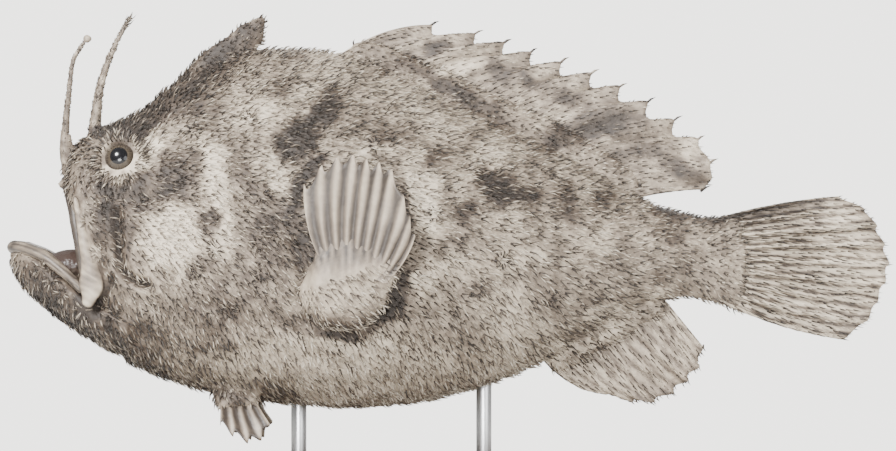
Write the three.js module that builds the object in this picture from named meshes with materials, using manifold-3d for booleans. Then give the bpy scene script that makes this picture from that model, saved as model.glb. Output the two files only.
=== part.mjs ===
// A life-size display model of a prickly frogfish, held over a flat base by two short rods.
// Millimetres. +Z is up, -X is towards the mouth, +X towards the tail, and -Y is the fish's left side.
// The origin is on the underside of the base, below the middle of the fish's length.
import * as THREE from "three";
import { mergeVertices } from "three/addons/utils/BufferGeometryUtils.js";
import Module from "manifold-3d";

const wasm = await Module();
wasm.setup();

// Driving sizes
const gap = 0.3; // clearance between pieces that touch
const snoutX = -66; // foremost plane of the upper head
const stemEndX = 50; // end of the tail stem, where the tail fin starts
const headEndX = -29.3; // cut between head and torso
const torsoEndX = 30; // cut between torso and tail stem
const base = { length: 92, width: 60, height: 8, corner: 9, bevel: 1.2, centreX: -14 };
const rod = { radius: 1.3, sunkInBase: 5, sunkInBelly: 2.5, xs: [-25.5, 6] };
const eye = { x: -55.7, z: 59.8, radius: 2.9, sunk: 1.4, rimRadius: 2.75, rim: 0.75 };
const lock = { length: 11.2, width: 8.8, rise: 2, ridge: 1.3, sunk: 0.6, spacing: 9.2 };
const membrane = 0.3; // half thickness of the skin between fin rays
const finRay = 0.52; // half thickness over a fin ray
const mouth = { x: -63, z: 47.6, deep: 10, wide: 9.2, tall: 7.8 };

const vec = (x, y, z) => new THREE.Vector3(x, y, z);
const mix = THREE.MathUtils.lerp;
const smoothstep = THREE.MathUtils.smoothstep;
const mirrored = (p) => vec(p.x, -p.y, p.z);
const bothSides = (half) => [...half, ...half.slice(0, -1).reverse().map(mirrored)];

// A value that follows one number smoothly: through([at, value], ...) gives a function of at.
function through(...points) {
  const last = points.length - 1;
  const slope = (i) => {
    const a = points[Math.max(i - 1, 0)];
    const b = points[Math.min(i + 1, last)];
    return (b[1] - a[1]) / (b[0] - a[0]);
  };
  return (at) => {
    const found = points.findIndex((p) => p[0] >= at);
    const i = Math.max((found < 0 ? last : found) - 1, 0);
    const [a, b] = [points[i], points[i + 1]];
    const span = b[0] - a[0];
    const t = THREE.MathUtils.clamp((at - a[0]) / span, 0, 1);
    const bend = slope(i) * span * (t - 2 * t * t + t ** 3) + slope(i + 1) * span * (t ** 3 - t * t);
    return a[1] + (b[1] - a[1]) * t * t * (3 - 2 * t) + bend;
  };
}

// three.js geometry into a closed solid, and back
function solidOf(geometry) {
  const bare = new THREE.BufferGeometry().setAttribute("position", geometry.getAttribute("position"));
  if (geometry.index) bare.setIndex(geometry.index);
  const merged = mergeVertices(bare, 1e-5);
  const corners = merged.index.array;
  const kept = [];
  for (let i = 0; i < corners.length; i += 3) {
    const [a, b, c] = [corners[i], corners[i + 1], corners[i + 2]];
    if (a !== b && b !== c && c !== a) kept.push(a, b, c);
  }
  const vertProperties = new Float32Array(merged.getAttribute("position").array);
  const build = (corners) => new wasm.Manifold(new wasm.Mesh({
    numProp: 3, vertProperties, triVerts: new Uint32Array(corners),
  }));
  const made = build(kept);
  if (made.volume() >= 0) return made;
  for (let i = 0; i < kept.length; i += 3) [kept[i + 1], kept[i + 2]] = [kept[i + 2], kept[i + 1]];
  return build(kept);
}

const join = (...solids) => wasm.Manifold.union(solids.flat(Infinity));
const cut = (solid, ...tools) => solid.subtract(join(...tools));
const merging = 0.06; // triangles flatter than this are merged
const largest = (solid) => solid.decompose().reduce((a, b) => (b.volume() > a.volume() ? b : a));

function geometryOf(solid) {
  const mesh = solid.getMesh();
  const positions = new Float32Array(mesh.numVert * 3);
  for (let i = 0; i < mesh.numVert; i++) {
    positions.set(mesh.vertProperties.subarray(i * mesh.numProp, i * mesh.numProp + 3), i * 3);
  }
  const geometry = new THREE.BufferGeometry();
  geometry.setAttribute("position", new THREE.BufferAttribute(positions, 3));
  geometry.setIndex(new THREE.BufferAttribute(mesh.triVerts, 1));
  geometry.computeVertexNormals();
  return geometry;
}

// A sphere whose rings are moved: pointAt takes the ring, from pole to pole, and the angle around it.
function shapedSphere(sides, rings, pointAt) {
  const geometry = new THREE.SphereGeometry(1, sides, rings);
  const { position, uv } = geometry.attributes;
  for (let i = 0; i < position.count; i++) {
    const ring = Math.round((1 - uv.getY(i)) * rings);
    const side = ring === 0 || ring === rings ? 0 : Math.round(uv.getX(i) * sides) % sides;
    position.setXYZ(i, ...pointAt(ring, (side / sides) * 2 * Math.PI).toArray());
  }
  return solidOf(geometry);
}

const ball = (centre, rx, ry, rz, sides = 16, rings = 10) => shapedSphere(sides, rings, (ring, around) => {
  const along = (ring / rings) * Math.PI;
  const out = Math.sin(along);
  return vec(rx * Math.cos(along), ry * out * Math.cos(around), rz * out * Math.sin(around)).add(centre);
});

// A lip, limb, spine or blade: an oval section carried along a curve. radii(t) gives its half size across
// the broad way and along thin, the direction in which a blade is flat.
function limb(points, radii, { sides = 10, steps = 10, thin = vec(0, 1, 0), grow = 0 } = {}) {
  const curve = new THREE.CatmullRomCurve3(points);
  return shapedSphere(sides, steps + 2, (ring, around) => {
    const t = THREE.MathUtils.clamp((ring - 1) / steps, 0, 1);
    const forward = curve.getTangent(t);
    const side = thin.clone().addScaledVector(forward, -thin.dot(forward)).normalize();
    const up = forward.clone().cross(side);
    const [broad, flat] = radii(t);
    const centre = curve.getPoint(t);
    if (t === 0) centre.addScaledVector(forward, -grow);
    if (t === 1) centre.addScaledVector(forward, grow);
    if (ring === 0 || ring === steps + 2) return centre;
    centre.addScaledVector(up, (broad + grow) * Math.cos(around));
    return centre.addScaledVector(side, (flat + grow) * Math.sin(around));
  });
}

// A closed sheet with the same triangles on both faces. surfaceAt gives a middle point, the direction of the
// thickness and half of it.
function sheet(columns, rows, surfaceAt) {
  const positions = [];
  for (const face of [1, -1]) {
    for (let row = 0; row <= rows; row++) {
      for (let column = 0; column <= columns; column++) {
        const { point, across, half } = surfaceAt(column, row);
        positions.push(...point.clone().addScaledVector(across, face * half).toArray());
      }
    }
  }
  const back = (columns + 1) * (rows + 1);
  const at = (column, row) => row * (columns + 1) + column;
  const triangles = [];
  for (let row = 0; row < rows; row++) {
    for (let column = 0; column < columns; column++) {
      const [a, b] = [at(column, row), at(column + 1, row)];
      const [c, d] = [at(column + 1, row + 1), at(column, row + 1)];
      triangles.push(a, b, c, a, c, d, back + a, back + c, back + b, back + a, back + d, back + c);
    }
  }
  const wall = (a, b) => triangles.push(b, a, back + a, b, back + a, back + b);
  for (let column = 0; column < columns; column++) {
    wall(at(column, 0), at(column + 1, 0));
    wall(at(column + 1, rows), at(column, rows));
  }
  for (let row = 0; row < rows; row++) {
    wall(at(columns, row), at(columns, row + 1));
    wall(at(0, row + 1), at(0, row));
  }
  const geometry = new THREE.BufferGeometry();
  geometry.setAttribute("position", new THREE.Float32BufferAttribute(positions, 3));
  geometry.setIndex(triangles);
  return solidOf(geometry);
}

// A fin of rays joined by skin. Every function takes a place across the rays, 0 at the first. Behind each
// ray the skin drops by the notch and rises again to the next tip. A clearance is a plain, thicker copy.
function fin({ rays, rows, rootAt, tipAt, bendAt, notch, thickAt, across }, grow = 0) {
  const steps = grow ? [0] : [0, 0.36];
  const columns = (rays - 1) * steps.length;
  const middle = (place, t, drop = 0) => {
    const tip = tipAt(place).addScaledVector(notch, drop);
    return rootAt(place).lerp(tip, t).addScaledVector(bendAt(place), 4 * t * (1 - t));
  };
  return sheet(columns, rows, (column, row) => {
    const step = steps[column % steps.length];
    const place = Math.floor(column / steps.length) + step;
    const t = row / rows;
    const point = middle(place, t, step);
    const inward = { 0: 0.5, [columns]: -0.5 }[column];
    if (grow && inward) point.add(point.clone().sub(middle(place + inward, t)).setLength(2 * grow));
    if (grow && row === 0) point.add(point.clone().sub(middle(place, 0.2)).setLength(2));
    return { point, across: across(place), half: thickAt(t) * (step ? membrane / finRay : 1) + grow };
  });
}

// A body drawn by its upper line, lower line, widest height and half width along X. The blunt front is
// rounded over frontRound, and the face leans back where leanAt says.
function profileBody(spec) {
  const { frontX, endX, frontRound, upper, lower, waist, width, upperPinch, lowerPinch, leanAt } = spec;
  const point = (x, around, grow = 0) => {
    const inFront = Math.min((x - frontX) / frontRound, 1);
    const round = Math.sqrt(Math.max(1 - (1 - inFront) ** 2, 0));
    const [up, side] = [Math.cos(around), Math.sin(around)];
    const reach = up > 0 ? upper(x) - waist(x) : waist(x) - lower(x);
    const pinch = up > 0 ? upperPinch(x) : lowerPinch(x);
    const y = -Math.sign(side) * Math.abs(side) ** pinch * (width(x) * round + grow);
    const z = waist(x) + (reach * round + grow) * up;
    return vec(x + leanAt(x, z), y, z);
  };
  const normal = (x, around) => {
    const alongX = point(x + 0.3, around).sub(point(x - 0.3, around));
    const alongRound = point(x, around + 0.02).sub(point(x, around - 0.02));
    return alongRound.cross(alongX).normalize();
  };
  const solid = (sides, spacing, grow = 0) => {
    const frontRings = 4;
    const plainRings = Math.round((endX - frontX - frontRound) / spacing);
    const rings = frontRings + plainRings + 2;
    return shapedSphere(sides, rings, (ring, around) => {
      if (ring === 0) return point(frontX, around).add(vec(-grow, 0, 0));
      if (ring === rings) return vec(endX + grow, 0, waist(endX));
      const x = ring <= frontRings
        ? frontX + frontRound * (1 - Math.cos((ring / frontRings) * Math.PI / 2))
        : frontX + frontRound + ((ring - frontRings) / (plainRings + 1)) * (endX - frontX - frontRound);
      return point(x, around, grow).add(vec(ring === rings - 1 ? grow : 0, 0, 0));
    });
  };
  // The left side's skin at a place seen from the side
  const at = (x, z) => {
    let inner = x;
    for (let i = 0; i < 4; i++) inner = x - leanAt(inner, z);
    const reach = z > waist(inner) ? upper(inner) - waist(inner) : waist(inner) - lower(inner);
    const around = Math.acos(THREE.MathUtils.clamp((z - waist(inner)) / reach, -1, 1));
    return { point: point(inner, around), normal: normal(inner, around) };
  };
  // The skin nearest to a place, searched for around the body on both sides of a known angle
  const nearest = (place, around) => {
    let found = around;
    for (let reach = 0.6; reach > 0.01; reach /= 3) {
      const angles = [-3, -2, -1, 0, 1, 2, 3].map((step) => found + (step * reach) / 3);
      const distance = (angle) => point(place.x, angle).distanceTo(place);
      found = angles.reduce((a, b) => (distance(b) < distance(a) ? b : a));
    }
    return { point: point(place.x, found), normal: normal(place.x, found) };
  };
  return { point, normal, nearest, solid, at, upper, lower };
}

const faceLean = through([33, 3.6], [37, 3.3], [45, 2], [56, 0], [66, 0]);
const trunk = profileBody({
  frontX: snoutX, endX: stemEndX, frontRound: 3.6,
  upper: through([-66, 57.5], [-64.4, 60.8], [-61, 63.3], [-56, 65.6], [-51, 68.3], [-46, 73.1], [-41, 75.7],
    [-35, 77.4], [-28, 78.2], [-20, 77.4], [-10, 74.4], [0, 70], [10, 65.4], [20, 60.4], [28, 55.6],
    [34, 52], [40, 50.2], [45, 49.6], [50, 50]),
  lower: through([-66, 33.4], [-61, 29.8], [-56, 26], [-48, 22.5], [-40, 20.3], [-30, 18.7], [-20, 17.7],
    [-8, 18.2], [2, 20.2], [10, 22.7], [18, 26.4], [26, 31.2], [34, 34.7], [40, 36], [44.5, 35.3],
    [50, 33.1]),
  waist: through([-66, 46.5], [-56, 45], [-40, 42], [-20, 39.5], [0, 40.5], [20, 42], [36, 42.6],
    [50, 42.4]),
  width: through([-66, 12.6], [-62, 13.6], [-56, 15], [-48, 16.8], [-38, 18.4], [-26, 19.4], [-14, 19.2],
    [-4, 17.6], [6, 14.8], [16, 11.4], [26, 8.1], [34, 5.6], [42, 3.4], [50, 1.7]),
  upperPinch: through([-66, 0.7], [-56, 0.76], [-50, 1], [-42, 1.4], [-30, 1.5], [0, 1.5], [24, 1.4],
    [36, 1.1], [50, 0.9]),
  lowerPinch: through([-66, 0.8], [-40, 0.78], [0, 0.82], [20, 1.05], [34, 1.2], [50, 0.95]),
  leanAt: (x, z) => faceLean(z) * (1 - smoothstep(x, snoutX + 1, snoutX + 14)),
});

const jaw = profileBody({
  frontX: -74.6, endX: -54, frontRound: 3.4,
  upper: through([-74.6, 44.8], [-71, 44.2], [-68, 43], [-65.5, 41], [-63.5, 38.6], [-61, 36], [-54, 33]),
  lower: through([-74.6, 40.4], [-72, 37.6], [-69, 34.8], [-65, 31.7], [-61, 29.3], [-57, 27], [-54, 26.6]),
  waist: through([-74.6, 43.2], [-70, 41], [-62, 35.4], [-54, 31]),
  width: through([-74.6, 7.4], [-72, 8.8], [-68, 11.2], [-62, 13], [-54, 13.4]),
  upperPinch: () => 0.7,
  lowerPinch: () => 0.75,
  leanAt: () => 0,
});

const trunkSides = 28;
const trunkRingSpacing = 4.2;
const trunkSolid = trunk.solid(trunkSides, trunkRingSpacing);
const aboveSkin = trunk.solid(trunkSides, trunkRingSpacing, gap);
const nearSkin = trunk.solid(trunkSides, trunkRingSpacing, gap / 2);
const aboveCoat = trunk.solid(trunkSides, trunkRingSpacing, 1.1 * lock.rise + 2 * gap);

// A box or a prism, seen from the side, to part or trim the body with
function slab(fromX, toX) {
  const box = new THREE.BoxGeometry(toX - fromX, 200, 300);
  return solidOf(box.translate((fromX + toX) / 2, 0, 0));
}

function sidePrism(points, grow = vec(0, 0, 0)) {
  const shape = new THREE.Shape(points.map(([x, z]) => new THREE.Vector2(x + grow.x, z + grow.z)));
  const prism = new THREE.ExtrudeGeometry(shape, { depth: 80, bevelEnabled: false });
  return solidOf(prism.translate(0, 0, -40).rotateX(Math.PI / 2));
}

// Everything in front of the line from the corner of the mouth back to the throat belongs to the lower jaw.
const jawLine = [[-54.2, 24], [-61.2, 38.4], [-63.4, 42.4], [-66.6, 46.4], [-68, 60], [-90, 60], [-90, 10],
  [-54.2, 10]];
const jawPart = sidePrism(jawLine);
const jawPartGrown = sidePrism(jawLine, vec(0.9 * gap, 0, 0.45 * gap));

// Lips: the lower one crowns the jaw, the upper one is the arch that frames the mouth
const lowerLipPath = bothSides([vec(-61.6, -12.5, 36.8), vec(-64.5, -12, 39.8), vec(-68, -10.1, 42.6),
  vec(-71.5, -6.9, 44.1), vec(-73.4, -3.4, 44.4), vec(-73.8, 0, 44.4)]);
const upperLipPath = bothSides([vec(-61.5, -12.7, 37.6), vec(-62.8, -11.9, 44), vec(-63.9, -10.1, 50),
  vec(-65, -6, 54.2), vec(-65.6, 0, 55.7)]);
const lipEnds = (t) => 0.45 + 0.55 * Math.sin(Math.PI * t) ** 0.35;
const lipRadius = 1.2;
const lipRadii = (t) => [lipRadius * lipEnds(t), lipRadius * lipEnds(t)];
const lowerLip = limb(lowerLipPath, lipRadii, { sides: 6, steps: 12, thin: vec(0, 0, 1) });
const upperLip = (grow) => limb(upperLipPath, lipRadii, { sides: 6, steps: 12, thin: vec(1, 0, 0), grow });

const cheekBone = (side, grow) => {
  const heights = [[-63.1, 53], [-61.7, 47.6], [-60.3, 42], [-60.1, 38], [-60.7, 35.4]];
  const path = heights.map(([x, z]) => trunk.at(x, z).point.add(vec(0, -0.25, 0)));
  const broad = through([0, 0.7], [0.3, 1.2], [0.6, 2.2], [0.8, 2], [1, 0.9]);
  const points = side < 0 ? path : path.map(mirrored);
  return limb(points, (t) => [broad(t), 0.75], { sides: 6, steps: 5, grow });
};

const tongue = (grow) => ball(vec(-64, 0, 41.2), 4.8 + grow, 5.2 + grow, 2.9 + grow, 12, 6);
const mouthHollow = ball(vec(mouth.x, 0, mouth.z), mouth.deep, mouth.wide, mouth.tall, 16, 9);

// Eyes sit in rimmed sockets
const eyeSeat = trunk.at(eye.x, eye.z);
const eyeCentre = eyeSeat.point.clone().addScaledVector(eyeSeat.normal, -eye.sunk);
const eyeLook = vec(-0.12, -0.94, 0.32).normalize();

function eyeRim() {
  const ring = new THREE.TorusGeometry(eye.rimRadius, eye.rim, 4, 12);
  ring.applyQuaternion(new THREE.Quaternion().setFromUnitVectors(vec(0, 0, 1), eyeLook));
  const centre = eyeCentre.clone().addScaledVector(eyeLook, eye.sunk + 0.1);
  return solidOf(ring.translate(...centre.toArray()));
}

const mirror = (solid) => solid.mirror([0, 1, 0]);
const eyeBall = (grow) => ball(eyeCentre, eye.radius + grow, eye.radius + grow, eye.radius + grow, 12, 7);

// A nostril or gill pore: a short rimmed tube standing on the skin, and the hole through it
function pore(x, z, radius, height, direction) {
  const { point, normal } = trunk.at(x, z);
  const out = direction ?? normal;
  const from = point.clone().addScaledVector(out, -1);
  const to = point.clone().addScaledVector(out, height);
  const tube = limb([from, to], () => [radius, radius], { sides: 6, steps: 1, thin: vec(1, 0, 0.2) });
  const above = to.clone().addScaledVector(out, 1);
  const bore = radius / 2;
  const hole = limb([point, above], () => [bore, bore], { sides: 5, steps: 1, thin: vec(1, 0, 0.2) });
  return { tube, hole };
}
const frontNostril = pore(-64.6, 58.4, 0.8, 0.9, vec(-0.7, -0.5, 0.5).normalize());
const rearNostril = pore(-61.6, 57.6, 0.75, 0.5);
const gillPore = pore(-3.6, 33, 1.4, 0.7);
const pores = [frontNostril, rearNostril, gillPore];

// The three free spines on the head: the thin lure, the bristly second spine and the third on the hump
const lurePath = [vec(-64.2, 0, 57.6), vec(-64.9, 0, 62), vec(-65.1, 0, 66.4), vec(-64.6, 0, 71),
  vec(-63.9, 0, 75.4), vec(-62.5, 0, 79.2)];
const lureRadius = (t) => mix(0.95, 0.32, t ** 0.7);
const lure = (grow) => limb(lurePath, (t) => [lureRadius(t), lureRadius(t)], { sides: 6, steps: 8, grow });
const lureBead = ball(vec(-62.1, 0, 79.7), 0.95, 0.75, 0.85, 8, 5);
const secondSpinePath = [vec(-60.2, 0, 60.2), vec(-60.2, 0, 64), vec(-59.7, 0, 69.5), vec(-58.8, 0, 73.6),
  vec(-57, 0, 78.3), vec(-54.4, 0, 83.4)];
const secondRadius = (t) => mix(1.5, 0.35, t ** 0.8);
const secondSpine = (grow) => limb(secondSpinePath, (t) => [secondRadius(t), secondRadius(t)],
  { sides: 6, steps: 8, grow });
const thirdSpinePath = [vec(-49, 0, 67.2), vec(-44.5, 0, 72.2), vec(-40, 0, 76), vec(-36, 0, 78.7),
  vec(-33.2, 0, 81), vec(-31.6, 0, 83.9)];
const thirdBroad = through([0, 1.4], [0.3, 2], [0.6, 2.5], [0.8, 2.2], [1, 0.4]);
const thirdSpine = (grow) => limb(thirdSpinePath, (t) => [thirdBroad(t), mix(2.2, 0.4, t)],
  { sides: 8, steps: 8, grow });

// Fins on the middle line
const upright = () => vec(0, 1, 0);
const dorsal = {
  rays: 12, rows: 4, notch: vec(0.2, 0, -2.1), across: upright,
  rootAt: (place) => {
    const x = through([0, -18], [5, 8], [11, 32.6])(place);
    return vec(x, 0, trunk.upper(x) + gap);
  },
  tipAt: (place) => vec(
    through([0, -2.8], [1, 4.6], [3, 14.2], [6, 29.3], [9, 42.6], [10, 44.8], [11, 44.8])(place),
    0,
    through([0, 82.3], [3, 77.7], [6, 71.9], [9, 62.8], [10, 58.6], [11, 54.4])(place),
  ),
  bendAt: (place) => vec(0, 0, through([0, 1.6], [6, 1.4], [11, 0.4])(place)),
  thickAt: (t) => mix(finRay + 0.3, finRay - 0.12, t),
};
const anal = {
  rays: 7, rows: 4, notch: vec(-0.9, 0, 0.9), across: upright,
  rootAt: (place) => {
    const x = through([0, 16.5], [6, 35.4])(place);
    return vec(x, 0, trunk.lower(x) - gap);
  },
  tipAt: (place) => vec(
    through([0, 27.5], [1, 31.4], [3, 38.4], [5, 42.7], [6, 43.4])(place),
    0,
    through([0, 19.4], [1, 18], [2, 18], [3, 19.6], [5, 24], [6, 27.4])(place),
  ),
  bendAt: (place) => vec(0, 0, through([0, -1.9], [2, -1.2], [6, 0])(place)),
  thickAt: (t) => mix(finRay + 0.3, finRay - 0.12, t),
};
const caudal = {
  rays: 9, rows: 4, notch: vec(-1.5, 0, 0), across: upright,
  rootAt: (place) => vec(stemEndX + gap, 0, mix(49.8, 33.3, place / 8)),
  tipAt: (place) => vec(
    through([0, 66.5], [1, 70.8], [2, 73], [4, 75], [6, 73.1], [7, 71.2], [8, 67.3])(place),
    0,
    through([0, 53.1], [1, 51], [2, 48], [4, 41.6], [6, 35], [7, 31.8], [8, 28.7])(place),
  ),
  bendAt: (place) => vec(0, 0, through([0, 1.1], [4, 0], [8, -1.2])(place)),
  thickAt: (t) => mix(finRay + 0.45, finRay - 0.12, t),
};

// Each pectoral fin is a hand on a stout arm, held out from the side and turned up
const palm = { centre: vec(-16.2, -23.2, 36.8), halfLength: 8.7, halfThickness: 3.7, halfHeight: 6.3 };
const alongFish = vec(1, 0, 0);
const arm = (grow) => join(
  limb([vec(-13, -13, 40), vec(-14.4, -18, 37.6), vec(-15.6, -23, 36.6)],
    (t) => [mix(5.6, 4.4, t), mix(6.2, 7.2, t)], { sides: 8, steps: 2, thin: alongFish, grow }),
  ball(palm.centre, palm.halfLength + grow, palm.halfThickness + grow, palm.halfHeight + grow, 12, 7),
  limb([vec(-16, -23.6, 38), vec(-15.2, -25.6, 44)],
    (t) => [mix(2.8, 1.1, t), mix(8.2, 7.3, t)], { sides: 8, steps: 1, thin: alongFish, grow }),
);
const pectoral = {
  rays: 10, rows: 3, notch: vec(0, 0, -2),
  across: (place) => vec(-0.12 * (place - 4.5) / 4.5, 1, 0.12).normalize(),
  rootAt: (place) => vec(mix(-21.9, -8.4, place / 9), -25.7, mix(45.2, 43.6, place / 9) + gap),
  tipAt: (place) => vec(
    through([0, -24.2], [1, -21.2], [3, -15.8], [6, -9.4], [7, -7.4], [9, -5.6])(place),
    -28.4 + 0.11 * (place - 4.5) ** 2,
    through([0, 55], [1, 58.2], [2.5, 60], [4, 59.2], [6, 57.4], [7, 52.8], [9, 46.4])(place),
  ),
  bendAt: (place) => vec(0, 0.7 - 0.02 * (place - 4.5) ** 2, 0),
  thickAt: (t) => mix(finRay + 0.35, finRay - 0.12, t),
};

// The pelvic fins are small splayed feet under the throat
const pelvicStalk = (grow) => limb([vec(-36, -4.6, 23), vec(-35.9, -7, 19.6), vec(-35.4, -8.8, 17.2)],
  (t) => [mix(2.7, 1.3, t), mix(4.4, 3.6, t)], { sides: 8, steps: 2, thin: alongFish, grow });
const pelvic = {
  rays: 5, rows: 3, notch: vec(-0.2, 0.2, 1.3), across: () => vec(0, 0.86, -0.5),
  rootAt: (place) => vec(mix(-38.6, -32.6, place / 4), -7.9, 18),
  tipAt: (place) => vec(
    through([0, -38.6], [1, -36.4], [2, -33.9], [3, -31.6], [4, -30.2])(place),
    -12.4 + 0.25 * (place - 2) ** 2,
    through([0, 14.4], [1, 12.6], [2, 11.4], [3, 12], [4, 14.4])(place),
  ),
  bendAt: () => vec(0, -0.4, -0.1),
  thickAt: (t) => mix(0.95, finRay - 0.1, t),
};

// The stand
const rodTop = (x) => trunk.lower(x) + rod.sunkInBelly;
function standRod(x, grow = 0) {
  const bottom = base.height - rod.sunkInBase - grow;
  const length = rodTop(x) + grow - bottom;
  const bar = new THREE.CylinderGeometry(rod.radius + grow, rod.radius + grow, length, 12);
  return solidOf(bar.rotateX(Math.PI / 2).translate(x, 0, bottom + length / 2));
}

function standBase() {
  const [halfLength, halfWidth] = [base.length / 2 - base.bevel, base.width / 2 - base.bevel];
  const radius = base.corner - base.bevel;
  const outline = new THREE.Shape();
  for (const [x, y, turn] of [[1, 1, 0], [-1, 1, 1], [-1, -1, 2], [1, -1, 3]]) {
    const start = turn * Math.PI / 2;
    outline.absarc(x * (halfLength - radius), y * (halfWidth - radius), radius, start, start + Math.PI / 2);
  }
  const block = new THREE.ExtrudeGeometry(outline, {
    depth: base.height - 2 * base.bevel,
    bevelThickness: base.bevel,
    bevelSize: base.bevel,
    bevelSegments: 1,
    curveSegments: 3,
  });
  return solidOf(block.translate(base.centreX, 0, base.bevel));
}

// The coat: flat tapered locks, rooted in the skin, that rise and then lie back over one another.
// An outline goes round a lock from its long tip, as shares of its length, half width and rise.
const tuft = [[1, 0.3, 1], [0.42, 1, 0.55], [0.02, 0.1, 0.1], [0.3, -0.92, 0.45], [0.88, -0.66, 0.95],
  [0.7, -0.16, 0.8]];
const bristle = [[1, 0, 1], [0.42, 1, 0.6], [0.03, 0, 0.12], [0.42, -1, 0.6]];
let seed = 20260;
function random() {
  seed = (seed * 1664525 + 1013904223) % 4294967296;
  return seed / 4294967296;
}

// skinAt finds the skin under a place beside the root, so that a long lock bends with the body.
function lockAt(root, normal, lie, size, outline = bristle, skinAt = (point) => ({ point, normal })) {
  const long = lock.length * size * mix(0.88, 1.12, random());
  const rise = lock.rise * Math.sqrt(size) * mix(0.85, 1.1, random());
  const halfWidth = lock.width * size * (random() < 0.5 ? 0.5 : -0.5);
  const flat = lie.clone().addScaledVector(normal, -lie.dot(normal)).normalize();
  const side = normal.clone().cross(flat);
  const cone = new THREE.ConeGeometry(1, 1, outline.length, 1);
  const { position } = cone.attributes;
  for (let i = 0; i < position.count; i++) {
    const [x, y, z] = [position.getX(i), position.getY(i), position.getZ(i)];
    const corner = Math.round((Math.atan2(x, z) / (2 * Math.PI)) * outline.length + outline.length);
    let [along, across, height] = outline[corner % outline.length];
    if (y > 0) [along, across, height] = [0.45, 0, lock.ridge / lock.rise];
    else if (Math.hypot(x, z) < 0.5) [along, across, height] = [0.12, 0, -lock.sunk / lock.rise];
    const beside = root.clone().addScaledVector(flat, along * long);
    const skin = skinAt(beside.addScaledVector(side, across * halfWidth));
    position.setXYZ(i, ...skin.point.clone().addScaledVector(skin.normal, height * rise).toArray());
  }
  return solidOf(cone);
}

// Which way the coat lies: back over the hump, and steeper and steeper towards the belly
function lieAt(x, z) {
  const height = (z - trunk.lower(x)) / (trunk.upper(x) - trunk.lower(x));
  const steepest = THREE.MathUtils.degToRad(mix(70, 20, smoothstep(x, 8, 36)));
  const droop = steepest * (1 - smoothstep(height, -0.1, 0.95));
  return vec(Math.cos(droop), 0, -Math.sin(droop));
}

// Locks in staggered rows over a body, an even distance apart along its surface, wherever allowed says so
function coat(body, fromX, toX, allowed) {
  const locks = [];
  let row = 0;
  for (let x = fromX; x < toX; x += lock.spacing * 0.866) {
    let travelled = lock.spacing * (row % 2 ? 0 : 0.5);
    let before = body.point(x, 0);
    for (let around = 0; around < 2 * Math.PI; around += 0.01) {
      const here = body.point(x, around);
      travelled += here.distanceTo(before);
      before = here;
      if (travelled < lock.spacing) continue;
      travelled -= lock.spacing;
      const rootX = x + lock.spacing * 0.16 * (random() - 0.5);
      const turn = around + 0.04 * (random() - 0.5);
      const root = body.point(rootX, turn);
      const size = allowed(root);
      if (!size) continue;
      const skinAt = (place) => body.nearest(place, turn);
      locks.push(lockAt(root, body.normal(rootX, turn), lieAt(root.x, root.z), size, tuft, skinAt));
    }
    row += 1;
  }
  return locks;
}

const near = (p, x, z, radius) => Math.hypot(p.x - x, p.z - z) < radius;
function trunkLockSize(p) {
  const inMouth = p.x < -60.5 && p.z < 57.5 && p.z > 30;
  const onBone = p.x < -57 && p.z > 33 && p.z < 52;
  const onNose = p.x < -60 && p.z > 55 && Math.abs(p.y) > 2.4;
  const bySpine = Math.abs(p.y) < 2.4 && p.x < -29 && p.z > 58;
  const byFin = Math.abs(p.y) < 1.5 && p.x > 12 && p.z < 40;
  const underArm = near(p, -15.6, 38, 6.5) || near(p, -36.8, 21.4, 3.4);
  if (inMouth || onBone || onNose || bySpine || byFin || underArm || near(p, eye.x, eye.z, 4.6)) return 0;
  return p.x < -48 ? 0.72 : mix(1, 0.7, smoothstep(p.x, 18, 46));
}
const jawLockSize = (p) => (p.z < jaw.upper(p.x) - 3 && p.x > -73 && p.x < -58 ? 0.5 : 0);

// Small locks along a spine, on its back and sides
function spineCoat(path, fromT, toT, count, size, radius) {
  const curve = new THREE.CatmullRomCurve3(path);
  return Array.from({ length: count }, (_, i) => {
    const t = mix(fromT, toT, i / (count - 1));
    const forward = curve.getTangent(t);
    const turn = i * 2.4;
    const normal = forward.clone().cross(vec(0, 1, 0)).multiplyScalar(-Math.cos(turn));
    normal.y += Math.sin(turn);
    const root = curve.getPoint(t).addScaledVector(normal, radius(t));
    return lockAt(root, normal.normalize(), forward, size);
  });
}

// Locks on the outward face of an arm
function armCoat() {
  const places = [[-3.2, 1.8], [2.6, 2.2], [-5.4, -1.8], [-0.2, -1.4], [5.2, -1.8], [-2.4, -5], [2.8, -4.8]];
  const { centre, halfLength, halfThickness, halfHeight } = palm;
  return places.map(([x, z]) => {
    const [u, w] = [x / halfLength, z / halfHeight];
    const v = -Math.sqrt(Math.max(1 - u * u - w * w, 0.02));
    const root = centre.clone().add(vec(x, halfThickness * v, z));
    const normal = vec(u / halfLength, v / halfThickness, w / halfHeight).normalize();
    return lockAt(root, normal, vec(0.35, 0, -1), 0.6);
  });
}

const trunkLocks = coat(trunk, snoutX + 4, stemEndX - 3.5, trunkLockSize);
const jawLocks = coat(jaw, -73, -56, jawLockSize);

// Limbs, trimmed to stand on the skin
const leftArm = largest(cut(join(arm(0), armCoat()), aboveSkin));
const leftPelvic = largest(cut(join(pelvicStalk(0), fin(pelvic)), aboveSkin));

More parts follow.
